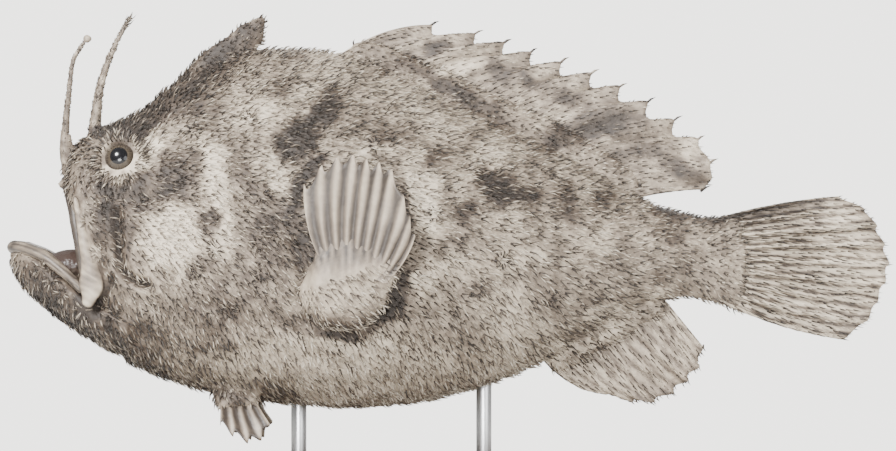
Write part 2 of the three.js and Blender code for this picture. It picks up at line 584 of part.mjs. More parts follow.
// The whole body in one, then parted
const clearOfCoat = [fin(dorsal, gap), fin(anal, gap), fin(caudal, gap), arm(gap), mirror(arm(gap)),
  pelvicStalk(gap), mirror(pelvicStalk(gap))];
const sockets = [upperLip(gap), cheekBone(-1, gap), cheekBone(1, gap), lure(gap), secondSpine(gap),
  thirdSpine(gap), eyeBall(gap), mirror(eyeBall(gap)), ...rod.xs.map((x) => standRod(x, gap)),
  ...pores.flatMap(({ hole }) => [hole, mirror(hole)])];
const raised = [eyeRim(), mirror(eyeRim()), ...pores.flatMap(({ tube }) => [tube, mirror(tube)])];
const coatTrim = cut(join(clearOfCoat), nearSkin);
const body = cut(join(trunkSolid, trunkLocks, raised), mouthHollow, sockets, coatTrim);

const chin = join(cut(jaw.solid(16, 4), mouthHollow), jawLocks);
const lowerJaw = join(join(body, chin).intersect(jawPart), lowerLip, cut(tongue(0), slab(-59.4, 0)));
const closedJaw = cut(lowerJaw, upperLip(gap), cheekBone(-1, gap), cheekBone(1, gap));
const headPart = cut(body, slab(headEndX, 100), jawPartGrown, tongue(gap), lowerLip);

const colours = {
  coat: 0x7d6a55, pale: 0xb9a78c, fin: 0x8a765e, eye: 0x2a2622, wood: 0x6b4a2f, steel: 0xa9adb0,
};
function finish(color, roughness = 0.7, metalness = 0) {
  return new THREE.MeshStandardMaterial({ color, roughness, metalness });
}
const model = new THREE.Group();
function add(name, solid, material) {
  const mesh = new THREE.Mesh(geometryOf(largest(solid.simplify(merging))), material);
  mesh.name = name;
  model.add(mesh);
}

add("head", headPart, finish(colours.coat));
add("lower_jaw", closedJaw, finish(colours.coat));
add("upper_jaw", upperLip(0), finish(colours.pale));
add("maxilla_left", cut(cheekBone(-1, 0), upperLip(gap)), finish(colours.pale));
add("maxilla_right", cut(cheekBone(1, 0), upperLip(gap)), finish(colours.pale));
add("eye_left", eyeBall(0), finish(colours.eye, 0.1));
add("eye_right", mirror(eyeBall(0)), finish(colours.eye, 0.1));
add("illicium", join(lure(0), lureBead), finish(colours.pale));
const secondCoat = spineCoat(secondSpinePath, 0.32, 0.9, 8, 0.36, (t) => mix(1.1, 0.2, t));
const thirdCoat = spineCoat(thirdSpinePath, 0.35, 0.88, 7, 0.42, (t) => mix(1.9, 0.3, t));
add("second_dorsal_spine", join(secondSpine(0), cut(join(secondCoat), aboveCoat)), finish(colours.coat));
add("third_dorsal_spine", join(thirdSpine(0), cut(join(thirdCoat), aboveCoat)), finish(colours.coat));
add("torso", cut(body, slab(-100, headEndX + gap), slab(torsoEndX, 100)), finish(colours.coat));
add("tail", cut(body, slab(-100, torsoEndX + gap)), finish(colours.coat));
add("dorsal_fin", fin(dorsal), finish(colours.fin));
add("anal_fin", fin(anal), finish(colours.fin));
add("caudal_fin", fin(caudal), finish(colours.fin));
for (const [side, place] of [["left", (solid) => solid], ["right", mirror]]) {
  add(`pectoral_arm_${side}`, place(leftArm), finish(colours.coat));
  add(`pectoral_fin_${side}`, place(fin(pectoral)), finish(colours.pale));
  add(`pelvic_fin_${side}`, place(leftPelvic), finish(colours.pale));
}
add("stand_base", cut(standBase(), rod.xs.map((x) => standRod(x, gap))), finish(colours.wood, 0.45));
add("stand_rod_front", standRod(rod.xs[0]), finish(colours.steel, 0.3, 1));
add("stand_rod_rear", standRod(rod.xs[1]), finish(colours.steel, 0.3, 1));

export default model;
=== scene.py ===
import math

import bpy
import numpy as np
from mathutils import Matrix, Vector


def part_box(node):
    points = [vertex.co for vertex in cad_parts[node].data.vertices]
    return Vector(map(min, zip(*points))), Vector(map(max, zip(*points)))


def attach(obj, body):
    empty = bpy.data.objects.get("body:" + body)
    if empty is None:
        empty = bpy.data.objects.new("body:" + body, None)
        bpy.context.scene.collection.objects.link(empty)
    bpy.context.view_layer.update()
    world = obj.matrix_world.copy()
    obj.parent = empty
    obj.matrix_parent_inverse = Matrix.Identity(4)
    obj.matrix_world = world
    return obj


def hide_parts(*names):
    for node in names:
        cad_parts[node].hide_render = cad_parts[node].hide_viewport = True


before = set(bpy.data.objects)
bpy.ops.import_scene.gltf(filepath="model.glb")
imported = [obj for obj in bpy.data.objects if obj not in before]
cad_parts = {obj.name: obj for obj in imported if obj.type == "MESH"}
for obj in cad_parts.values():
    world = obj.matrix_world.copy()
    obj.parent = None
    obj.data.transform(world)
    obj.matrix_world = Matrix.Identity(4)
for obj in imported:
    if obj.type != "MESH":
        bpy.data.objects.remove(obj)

for name in ("Cube", "Light", "Camera"):  # the new file's own things
    if name in bpy.data.objects:
        bpy.data.objects.remove(bpy.data.objects[name])
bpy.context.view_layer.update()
mm = 0.001  # shapes are worked out in millimetres, as the solids were
dice = np.random.default_rng(41)


def through(*points):  # a value that follows one number smoothly
    at, value = np.array(points, float).T
    here = np.arange(len(at))
    before, after = np.maximum(here - 1, 0), np.minimum(here + 1, len(at) - 1)
    slope = (value[after] - value[before]) / (at[after] - at[before])

    def follow(x):
        x = np.clip(np.asarray(x, float), at[0], at[-1])
        i = np.clip(np.searchsorted(at, x) - 1, 0, len(at) - 2)
        step = at[i + 1] - at[i]
        t = (x - at[i]) / step
        line = value[i] + (value[i + 1] - value[i]) * t * t * (3 - 2 * t)
        return line + slope[i] * step * (t - 2 * t**2 + t**3) + slope[i + 1] * step * (t**3 - t**2)

    return follow


def ease(x, low, high):  # 0 up to low, 1 from high on
    t = np.clip((np.asarray(x, float) - low) / (high - low), 0, 1)
    return t * t * (3 - 2 * t)


def mix(a, b, t):
    return a + (b - a) * t


def unit(v):
    return v / np.maximum(np.linalg.norm(v, axis=-1, keepdims=True), 1e-9)


def vec(*parts):
    return np.stack(np.broadcast_arrays(*[np.asarray(p, float) for p in parts]), -1)


def onSide(side, points):  # shapes are given on the left, at -1, and mirrored for the right, at 1
    return np.asarray(points, float) * [1, -side, 1]


def besideLine(points, path):  # distance from a line of places
    best = np.full(len(points), 1e9)
    for a, b in zip(np.array(path[:-1], float), np.array(path[1:], float)):
        t = np.clip(((points - a) @ (b - a)) / ((b - a) @ (b - a)), 0, 1)
        best = np.minimum(best, np.linalg.norm(points - a - t[:, None] * (b - a), axis=1))
    return best


def ripple(points, size, seed):  # a smooth uneven value from -1 to 1, about size across
    turns = np.random.default_rng(seed)
    total = 0
    for _ in range(7):
        way = unit(turns.normal(size=3)) * (2 * math.pi / size) * turns.uniform(0.6, 1.5)
        wave = points @ way + turns.uniform(0, 6.3) + 1.3 * np.sin(points @ way[[2, 0, 1]] * 0.7)
        total = total + np.sin(wave)
    return total / 3.2


# Handling pieces
def pick(*chosen):
    bpy.ops.object.select_all(action="DESELECT")
    for piece in chosen:
        piece.select_set(True)
    bpy.context.view_layer.objects.active = chosen[0]


def added(name, operator, **settings):
    bpy.ops.object.select_all(action="DESELECT")
    operator(**settings)
    piece = bpy.context.object
    piece.name = piece.data.name = name
    return piece


def pointsOf(piece):
    flat = np.empty(len(piece.data.vertices) * 3)
    piece.data.vertices.foreach_get("co", flat)
    return flat.reshape(-1, 3) / mm


def normalsOf(piece):
    flat = np.empty(len(piece.data.vertices) * 3)
    piece.data.vertex_normals.foreach_get("vector", flat)
    return flat.reshape(-1, 3)


def movePoints(piece, points):
    piece.data.vertices.foreach_set("co", (np.asarray(points) * mm).ravel())
    piece.data.update()


def faceOutwards(piece):
    pick(piece)
    bpy.ops.object.mode_set(mode="EDIT")
    bpy.ops.mesh.select_all(action="SELECT")
    bpy.ops.mesh.normals_make_consistent(inside=False)
    bpy.ops.object.mode_set(mode="OBJECT")


def applied(piece, kind, **settings):
    pick(piece)
    modifier = piece.modifiers.new(kind.title(), kind)
    for key, value in settings.items():
        setattr(modifier, key, value)
    bpy.ops.object.modifier_apply(modifier=modifier.name)


def placed(piece):  # place, turn and scale go into the mesh
    pick(piece)
    bpy.ops.object.transform_apply(location=True, rotation=True, scale=True)


def joined(name, *parts):
    pick(*parts)
    bpy.ops.object.join()
    whole = bpy.context.object
    whole.name = whole.data.name = name
    return whole


def ringedBall(name, sides, rings, place):  # a ball whose rings and sides are carried to new places
    piece = added(name, bpy.ops.mesh.primitive_uv_sphere_add, segments=sides, ring_count=rings, radius=1)
    x, y, z = (pointsOf(piece) * mm).T
    ring = np.rint(np.arccos(np.clip(z, -1, 1)) / math.pi * rings)
    movePoints(piece, place(ring, np.arctan2(y, x)))
    faceOutwards(piece)
    return piece


def ball(name, centre, radii, sides=32, rings=20):
    def place(ring, around):
        along = ring / rings * math.pi
        out = np.sin(along)
        way = vec(np.cos(along), out * np.cos(around), out * np.sin(around))
        return np.array(centre) + np.array(radii) * way
    return ringedBall(name, sides, rings, place)


def curveThrough(path):
    path = np.array(path, float)
    at = np.linspace(0, 1, len(path))
    rows = [through(*zip(at, path[:, k])) for k in range(3)]
    return lambda t: np.stack([row(t) for row in rows], -1)


def wayAlong(curve, t):
    return unit(curve(np.clip(t + 0.01, 0, 1)) - curve(np.clip(t - 0.01, 0, 1)))


def limb(name, path, radii, thin=(0, 1, 0), sides=20, steps=30, rounding=0.06):
    # an oval section carried along a curve; radii(t) gives its half size across and along thin
    curve = curveThrough(path)

    def place(ring, around):
        t = 0.5 - 0.5 * np.cos(ring / steps * math.pi)
        forward = wayAlong(curve, t)
        side = unit(np.array(thin) - forward * (forward @ np.array(thin, float))[:, None])
        up = np.cross(forward, side)
        end = np.clip(np.minimum(t, 1 - t) / rounding, 0, 1)
        blunt = np.sqrt(1 - (1 - end) ** 2)
        broad, flat = radii(t)
        rise, out = broad * blunt * np.cos(around), flat * blunt * np.sin(around)
        return curve(t) + (up * rise[:, None] + side * out[:, None])

    return ringedBall(name, sides, steps, place)


print("stage: profiles")
trunk = {
    "frontX": -66, "endX": 50, "frontRound": 3.6,
    "upper": through([-66, 57.5], [-64.4, 60.8], [-61, 63.3], [-56, 65.6], [-51, 68.3], [-46, 73.1],
                     [-41, 75.7], [-35, 77.4], [-28, 78.2], [-20, 77.4], [-10, 74.4], [0, 70], [10, 65.4],
                     [20, 60.4], [28, 55.6], [34, 52], [40, 50.2], [45, 49.6], [50, 50]),
    "lower": through([-66, 33.4], [-61, 29.8], [-56, 26], [-48, 22.5], [-40, 20.3], [-30, 18.7],
                     [-20, 17.7], [-8, 18.2], [2, 20.2], [10, 22.7], [18, 26.4], [26, 31.2], [34, 34.7],
                     [40, 36], [44.5, 35.3], [50, 33.1]),
    "waist": through([-66, 46.5], [-56, 45], [-40, 42], [-20, 39.5], [0, 40.5], [20, 42], [36, 42.6],
                     [50, 42.4]),
    "width": through([-66, 12.6], [-62, 13.6], [-56, 15], [-48, 16.8], [-38, 18.4], [-26, 19.4],
                     [-14, 19.2], [-4, 17.6], [6, 14.8], [16, 11.4], [26, 8.1], [34, 5.6], [42, 3.4],
                     [50, 1.7]),
    "upperPinch": through([-66, 0.7], [-56, 0.76], [-50, 1], [-42, 1.4], [-30, 1.5], [0, 1.5], [24, 1.4],
                          [36, 1.1], [50, 0.9]),
    "lowerPinch": through([-66, 0.8], [-40, 0.78], [0, 0.82], [20, 1.05], [34, 1.2], [50, 0.95]),
    "faceLean": through([33, 3.6], [37, 3.3], [45, 2], [56, 0], [66, 0]),
}
jaw = {
    "frontX": -74.6, "endX": -54, "frontRound": 3.4,
    "upper": through([-74.6, 44.8], [-71, 44.2], [-68, 43], [-65.5, 41], [-63.5, 38.6], [-61, 36], [-54, 33]),
    "lower": through([-74.6, 40.4], [-72, 37.6], [-69, 34.8], [-65, 31.7], [-61, 29.3], [-57, 27],
                     [-54, 26.6]),
    "waist": through([-74.6, 43.2], [-70, 41], [-62, 35.4], [-54, 31]),
    "width": through([-74.6, 7.4], [-72, 8.8], [-68, 11.2], [-62, 13], [-54, 13.4]),
    "upperPinch": lambda x: 0.7, "lowerPinch": lambda x: 0.75, "faceLean": lambda z: 0 * z,
}


def leanAt(shape, x, z):
    return shape["faceLean"](z) * (1 - ease(x, shape["frontX"] + 1, shape["frontX"] + 14))


def bodyPoints(shape, x, around):
    inFront = np.clip((x - shape["frontX"]) / shape["frontRound"], 0, 1)
    blunt = np.sqrt(1 - (1 - inFront) ** 2)
    up, side = np.cos(around), np.sin(around)
    waist = shape["waist"](x)
    reach = np.where(up > 0, shape["upper"](x) - waist, waist - shape["lower"](x))
    pinch = np.where(up > 0, shape["upperPinch"](x), shape["lowerPinch"](x))
    y = -np.sign(side) * np.abs(side) ** pinch * shape["width"](x) * blunt
    z = waist + reach * blunt * up
    return vec(x + leanAt(shape, x, z), y, z)


def skinAt(x, z):  # the left side's skin at a place seen from the side
    x, z = np.asarray(x, float), np.asarray(z, float)
    inner = x
    for _ in range(4):
        inner = x - leanAt(trunk, inner, z)
    waist = trunk["waist"](inner)
    reach = np.where(z > waist, trunk["upper"](inner) - waist, waist - trunk["lower"](inner))
    return bodyPoints(trunk, inner, np.arccos(np.clip((z - waist) / reach, -1, 1)))


def bodySkin(name, shape, sides, rings, frontRings):
    def place(ring, around):
        front = shape["frontX"] + shape["frontRound"] * (1 - np.cos(ring / frontRings * math.pi / 2))
        start = shape["frontX"] + shape["frontRound"]
        later = mix(start, shape["endX"], (ring - frontRings) / (rings - 1 - frontRings))
        x = np.where(ring <= frontRings, front, np.minimum(later, shape["endX"]))
        points = bodyPoints(shape, x, around)
        points[ring == rings] = [shape["endX"] + 1.5, 0, shape["waist"](shape["endX"])]
        return points
    return ringedBall(name, sides, rings, place)


print("stage: fins")


def acrossRays(*parts):  # a place or a way for each place across the rays, from numbers and curves
    return lambda place: vec(*[part(place) if callable(part) else part + 0 * place for part in parts])


def onTrunkEdge(edge, xs):
    return acrossRays(xs, 0, lambda place: trunk[edge](xs(place)))


dorsalFin = {
    "name": "dorsal", "row": 0, "rays": 12, "notch": (-1.4, 0, -1.8), "across": acrossRays(0, 1, 0),
    "root": onTrunkEdge("upper", through([0, -18], [5, 8], [11, 32.6])),
    "tip": acrossRays(
        through([0, -2.8], [1, 4.6], [3, 14.2], [6, 29.3], [9, 42.6], [10, 44.6], [10.5, 45.2], [11, 43.2]),
        0, through([0, 82.3], [3, 77.7], [6, 71.9], [9, 62.8], [10, 58.9], [10.5, 56.6], [11, 54.2])),
    "bend": acrossRays(0, 0, through([0, 1.6], [6, 1.4], [11, 0.4])),
    "rootHalf": 0.85, "tipHalf": 0.3, "sway": 0.5, "sink": 2, "ridge": 0.16, "lines": 0.2,
    "hooks": through([0, 1], [8.2, 1], [9.3, 0.4], [11, 0.3]),
}
analFin = {
    "name": "anal", "row": 1, "rays": 7, "notch": (-0.6, 0, 0.6), "across": acrossRays(0, 1, 0),
    "root": onTrunkEdge("lower", through([0, 16.5], [6, 36.8])),
    "tip": acrossRays(through([0, 27.5], [1, 31.4], [3, 38.4], [5, 42.7], [6, 43.4]), 0,
                      through([0, 19.4], [1, 18], [2, 18], [3, 19.6], [5, 24], [6, 27.4])),
    "bend": acrossRays(0, 0, through([0, -1.9], [2, -1.2], [6, 0])),
    "rootHalf": 0.85, "tipHalf": 0.3, "sway": 0.4, "sink": 2, "ridge": 0.16, "lines": 0.4,
}
caudalFin = {
    "name": "caudal", "row": 2, "rays": 9, "notch": (-0.6, 0, 0), "across": acrossRays(0, 1, 0),
    "root": acrossRays(44, 0, lambda place: mix(48.8, 36.4, place / 8)),
    "tip": acrossRays(through([0, 66.5], [1, 70.8], [2, 73], [4, 75], [6, 73.1], [7, 71.2], [8, 67.3]), 0,
                      through([0, 53.1], [1, 51], [2, 48], [4, 41.6], [6, 35], [7, 31.8], [8, 28.7])),
    "bend": acrossRays(0, 0, through([0, 0.7], [4, 0], [8, -1.2])),
    "rootHalf": 2.7, "tipHalf": 0.32, "sway": 0.5, "sink": 0.5, "ridge": 0.2, "lines": 0.85,
}
pectoralFin = {
    "name": "pectoral", "row": 3, "rays": 10, "notch": (0, 0, -1.7),
    "across": lambda place: unit(vec(-0.12 * (place - 4.5) / 4.5, 1, 0.12)),
    "root": lambda place: vec(mix(-20.6, -9.2, place / 9), -25.6, mix(42.2, 40.6, place / 9)),
    "tip": acrossRays(through([0, -24.2], [1, -21.2], [3, -15.8], [6, -9.4], [7, -7.4], [9, -5.6]),
                      lambda place: -28.4 + 0.11 * (place - 4.5) ** 2,
                      through([0, 55], [1, 58.2], [2.5, 60], [4, 59.2], [6, 57.4], [7, 52.8], [9, 46.4])),
    "bend": acrossRays(through([0, -1.3], [3, -0.5], [6, 0.3], [9, 0.7]),
                       lambda place: 0.7 - 0.02 * (place - 4.5) ** 2, 0),
    "rootHalf": 1.5, "tipHalf": 0.42, "sway": 0.25, "sink": 2.6, "ridge": 0.3,
}
pelvicFin = {
    "name": "pelvic", "rays": 5, "notch": (-0.2, 0.2, 1.2), "across": acrossRays(0, 0.86, -0.5),
    "root": acrossRays(lambda place: mix(-38.6, -32.6, place / 4), -7.9, 18),
    "tip": acrossRays(through([0, -38.6], [1, -36.4], [2, -33.9], [3, -31.6], [4, -30.2]),
                      lambda place: -12.4 + 0.25 * (place - 2) ** 2,
                      through([0, 14.4], [1, 12.6], [2, 11.4], [3, 12], [4, 14.4])),
    "bend": acrossRays(0, -0.4, -0.1),
    "rootHalf": 1, "tipHalf": 0.35, "sway": 0.1, "sink": 1.2, "ridge": 0.26,
}


def finMiddle(fin, place, t):
    # the middle of the sheet: place counts across the rays, t runs from root to margin
    gone = place - np.floor(np.minimum(place, fin["rays"] - 1.001))
    fall = np.sin(np.clip(gone / 0.28, 0, 1) * math.pi / 2) ** 0.8
    dip = np.where(gone < 0.28, fall, 1 - ease(gone, 0.28, 1))
    dip = np.where(gone >= 1, 0, dip) * (fin["hooks"](place) if "hooks" in fin else 1)
    root, tip = fin["root"](place), fin["tip"](place) + np.array(fin["notch"]) * dip[..., None]
    inward = unit(root - tip) * fin["sink"]
    point = mix(root + inward, tip, t[..., None]) + fin["bend"](place) * (4 * t * (1 - t))[..., None]
    wave = np.sin(place * 2.3 + 0.8) + 0.6 * np.sin(place * 5.1 + t * 3)
    return point + fin["across"](place) * (fin["sway"] * t**1.5 * wave)[..., None]


def finRidge(fin, place):  # 1 over a ray, 0 between two
    return np.exp(-(((place - np.rint(place)) / fin["ridge"]) ** 2))


def finHalf(fin, place, t):
    joints = 1 + 0.06 * np.sin(t * 95) * (t > 0.3)
    rib = 0.42 + 0.58 * finRidge(fin, place) * joints
    return mix(fin["rootHalf"], fin["tipHalf"], t**0.8) * mix(0.45, rib, ease(t, 0.12, 0.45))


def fleshyRoot(fin, reach=0.24):  # the thick foot of a fin, to melt into the body
    rays = fin["rays"] - 1

    def middle(place, t):
        return finMiddle(fin, np.array([place]), np.array([t]))[0]

    path = [middle(place, reach * 0.5) for place in np.linspace(0.1, rays - 0.1, 9)]
    height = np.linalg.norm(middle(rays / 2, reach) - middle(rays / 2, 0.0))
    return limb(fin["name"] + "_foot", path,
                lambda t: (height * 0.62 + 0 * t, 1.7 * (0.55 + 0.45 * np.sin(math.pi * t))), steps=60)


print("stage: body")
eyeBox = [np.array(corner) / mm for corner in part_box("eye_left")]
eye = {"centre": (eyeBox[0] + eyeBox[1]) / 2, "look": unit(np.array([-0.12, -0.94, 0.32])), "radius": 2.85,
       "rimOut": 1.15, "rimRadius": 3.32, "rimHalf": 0.52}
mouth = {"centre": (-63, 0, 47.6), "radii": (10, 9.2, 7.8), "tongue": (-64, 0, 41.2),
         "tongueRadii": (4.8, 5.2, 2.9)}
palm = {"centre": (-18.2, -23.2, 36.9), "radii": (7.2, 3.7, 6.3)}


def hollowed(piece, tool):
    applied(piece, "BOOLEAN", operation="DIFFERENCE", object=tool, solver="EXACT")
    return piece


def armForms(side):
    return [
        limb("arm", onSide(side, [(-14.5, -13, 40), (-16.4, -18, 37.6), (-17.9, -23, 36.6)]),
             lambda t: (mix(5.6, 4.4, t), mix(5.4, 6.2, t)), thin=(1, 0, 0), rounding=0.02),
        ball("palm", onSide(side, palm["centre"]), palm["radii"]),
        limb("wrist", onSide(side, [(-18, -23.4, 36), (-15.7, -25.1, 41), (-14.7, -25.7, 46)]),
             lambda t: (mix(3, 0.3, t**0.8), mix(6.9, 7.2, t)), thin=(1, 0, 0), rounding=0.1),
        limb("foot", onSide(side, [(-36, -4.6, 23), (-35.9, -7, 19.6), (-35.4, -8.8, 17.2)]),
             lambda t: (mix(2.7, 1.3, t), mix(4.4, 3.6, t)), thin=(1, 0, 0), rounding=0.1),
    ]


def eyeRim(side):
    centre, look = eye["centre"] + eye["look"] * eye["rimOut"], eye["look"]
    flat = unit(np.cross(look, [0, 0, 1]))
    up, far = np.cross(flat, look), eye["rimRadius"]
    ring = [centre + (flat * math.cos(a) + up * math.sin(a)) * far for a in np.linspace(0, 2 * math.pi, 25)]
    return limb("eye_rim", onSide(side, ring), lambda t: (eye["rimHalf"] + 0 * t, eye["rimHalf"] + 0 * t),
                thin=onSide(side, look), steps=80, sides=12, rounding=0.001)


def nostril(side):
    root = skinAt(-65.2, 58.8)
    path = onSide(side, [root, root + [-1.1, -0.7, 0.8]])
    return limb("nostril", path, lambda t: (0.85 + 0 * t, 0.85 + 0 * t))


mouthTool = ball("mouth_tool", mouth["centre"], mouth["radii"], 64, 40)
core = [
    hollowed(bodySkin("trunk", trunk, 96, 130, 10), mouthTool),
    hollowed(bodySkin("chin", jaw, 64, 40, 8), mouthTool),
    fleshyRoot(dorsalFin), fleshyRoot(analFin), fleshyRoot(caudalFin, 0.2),
    limb("hump_spine", [(-49, 0, 67.2), (-44.5, 0, 72.2), (-40, 0, 76), (-36, 0, 78.7), (-33.2, 0, 81),
                        (-31.6, 0, 83.9)],
         lambda t: (through([0, 1.4], [0.3, 2], [0.6, 2.5], [0.8, 2.2], [1, 0.5])(t), mix(2.4, 0.6, t))),
    limb("second_foot", [(-60.2, 0, 59), (-60.2, 0, 62.4), (-60, 0, 66)],
         lambda t: (mix(2.5, 0.9, t), mix(2.4, 0.8, t))),
    limb("lure_foot", [(-64.1, 0, 56.6), (-64.9, 0, 60.6), (-65, 0, 64)],
         lambda t: (mix(1.7, 0.7, t), mix(1.6, 0.6, t))),
    ball("tongue", mouth["tongue"], mouth["tongueRadii"]),
    *armForms(-1), *armForms(1), eyeRim(-1), eyeRim(1), nostril(-1), nostril(1),
]
bodyCore = joined("frogfish_skin", *core)  # the closed forms melt into one
bodyCore.data.remesh_voxel_size = 0.6 * mm
bpy.ops.object.voxel_remesh()
bpy.data.objects.remove(mouthTool)
applied(bodyCore, "SMOOTH", factor=0.5, iterations=4)

print("stage: folds of the skin")
folds = {  # grooves on both cheeks and round the jaw: places seen from the side, depth and half width
    "cheek": ([(-56.1, 50.5), (-55.8, 47), (-55.7, 43.5), (-55.2, 41), (-53.6, 39), (-50.8, 38.2)], 1.3, 0.7),
    "brow": ([(-56, 52.6), (-52.5, 52.4), (-48.5, 53.2), (-45, 55.2)], 0.35, 0.9),
    "jawHinge": ([(-59.5, 33.4), (-58, 36.2), (-56.8, 39.4)], 0.5, 0.6),
    "throat": ([(-55.2, 26.4), (-57.4, 30.6), (-59.6, 34.6)], 0.4, 0.8),
    "armpit": ([(-25.8, 44.5), (-24.4, 40), (-24.2, 35.5), (-21.6, 30.6), (-16, 29.2)], 0.5, 1.2),
}


def outerSide(points):  # how far outside the mouth a place is
    return ease(np.linalg.norm((points - mouth["centre"]) / np.array(mouth["radii"]), axis=1), 1, 1.15)


def eyeReach(points):  # the distance from the eye, seen from the side
    return np.hypot(points[:, 0] - eye["centre"][0], points[:, 2] - eye["centre"][2])


def onFlank(points):
    return ease(np.abs(points[:, 1]), 4, 7)


points = pointsOf(bodyCore)
relief = 0.16 * ripple(points, 9, 1) + 0.1 * ripple(points, 4, 2) + 0.05 * ripple(points, 1.9, 3)
relief = relief * outerSide(points) * ease(eyeReach(points), 3, 6)
for path, depth, half in folds.values():  # a groove with a low swelling beside it
    away = besideLine(points[:, [0, 2]], path)
    groove, swelling = [np.exp(-(((away - at) / half) ** 2)) for at in (0, 2.2 * half)]
    deep = depth * onFlank(points)
    relief = relief - deep * groove + 0.25 * deep * swelling
movePoints(bodyCore, points + normalsOf(bodyCore) * relief[:, None])

print("stage: markings")
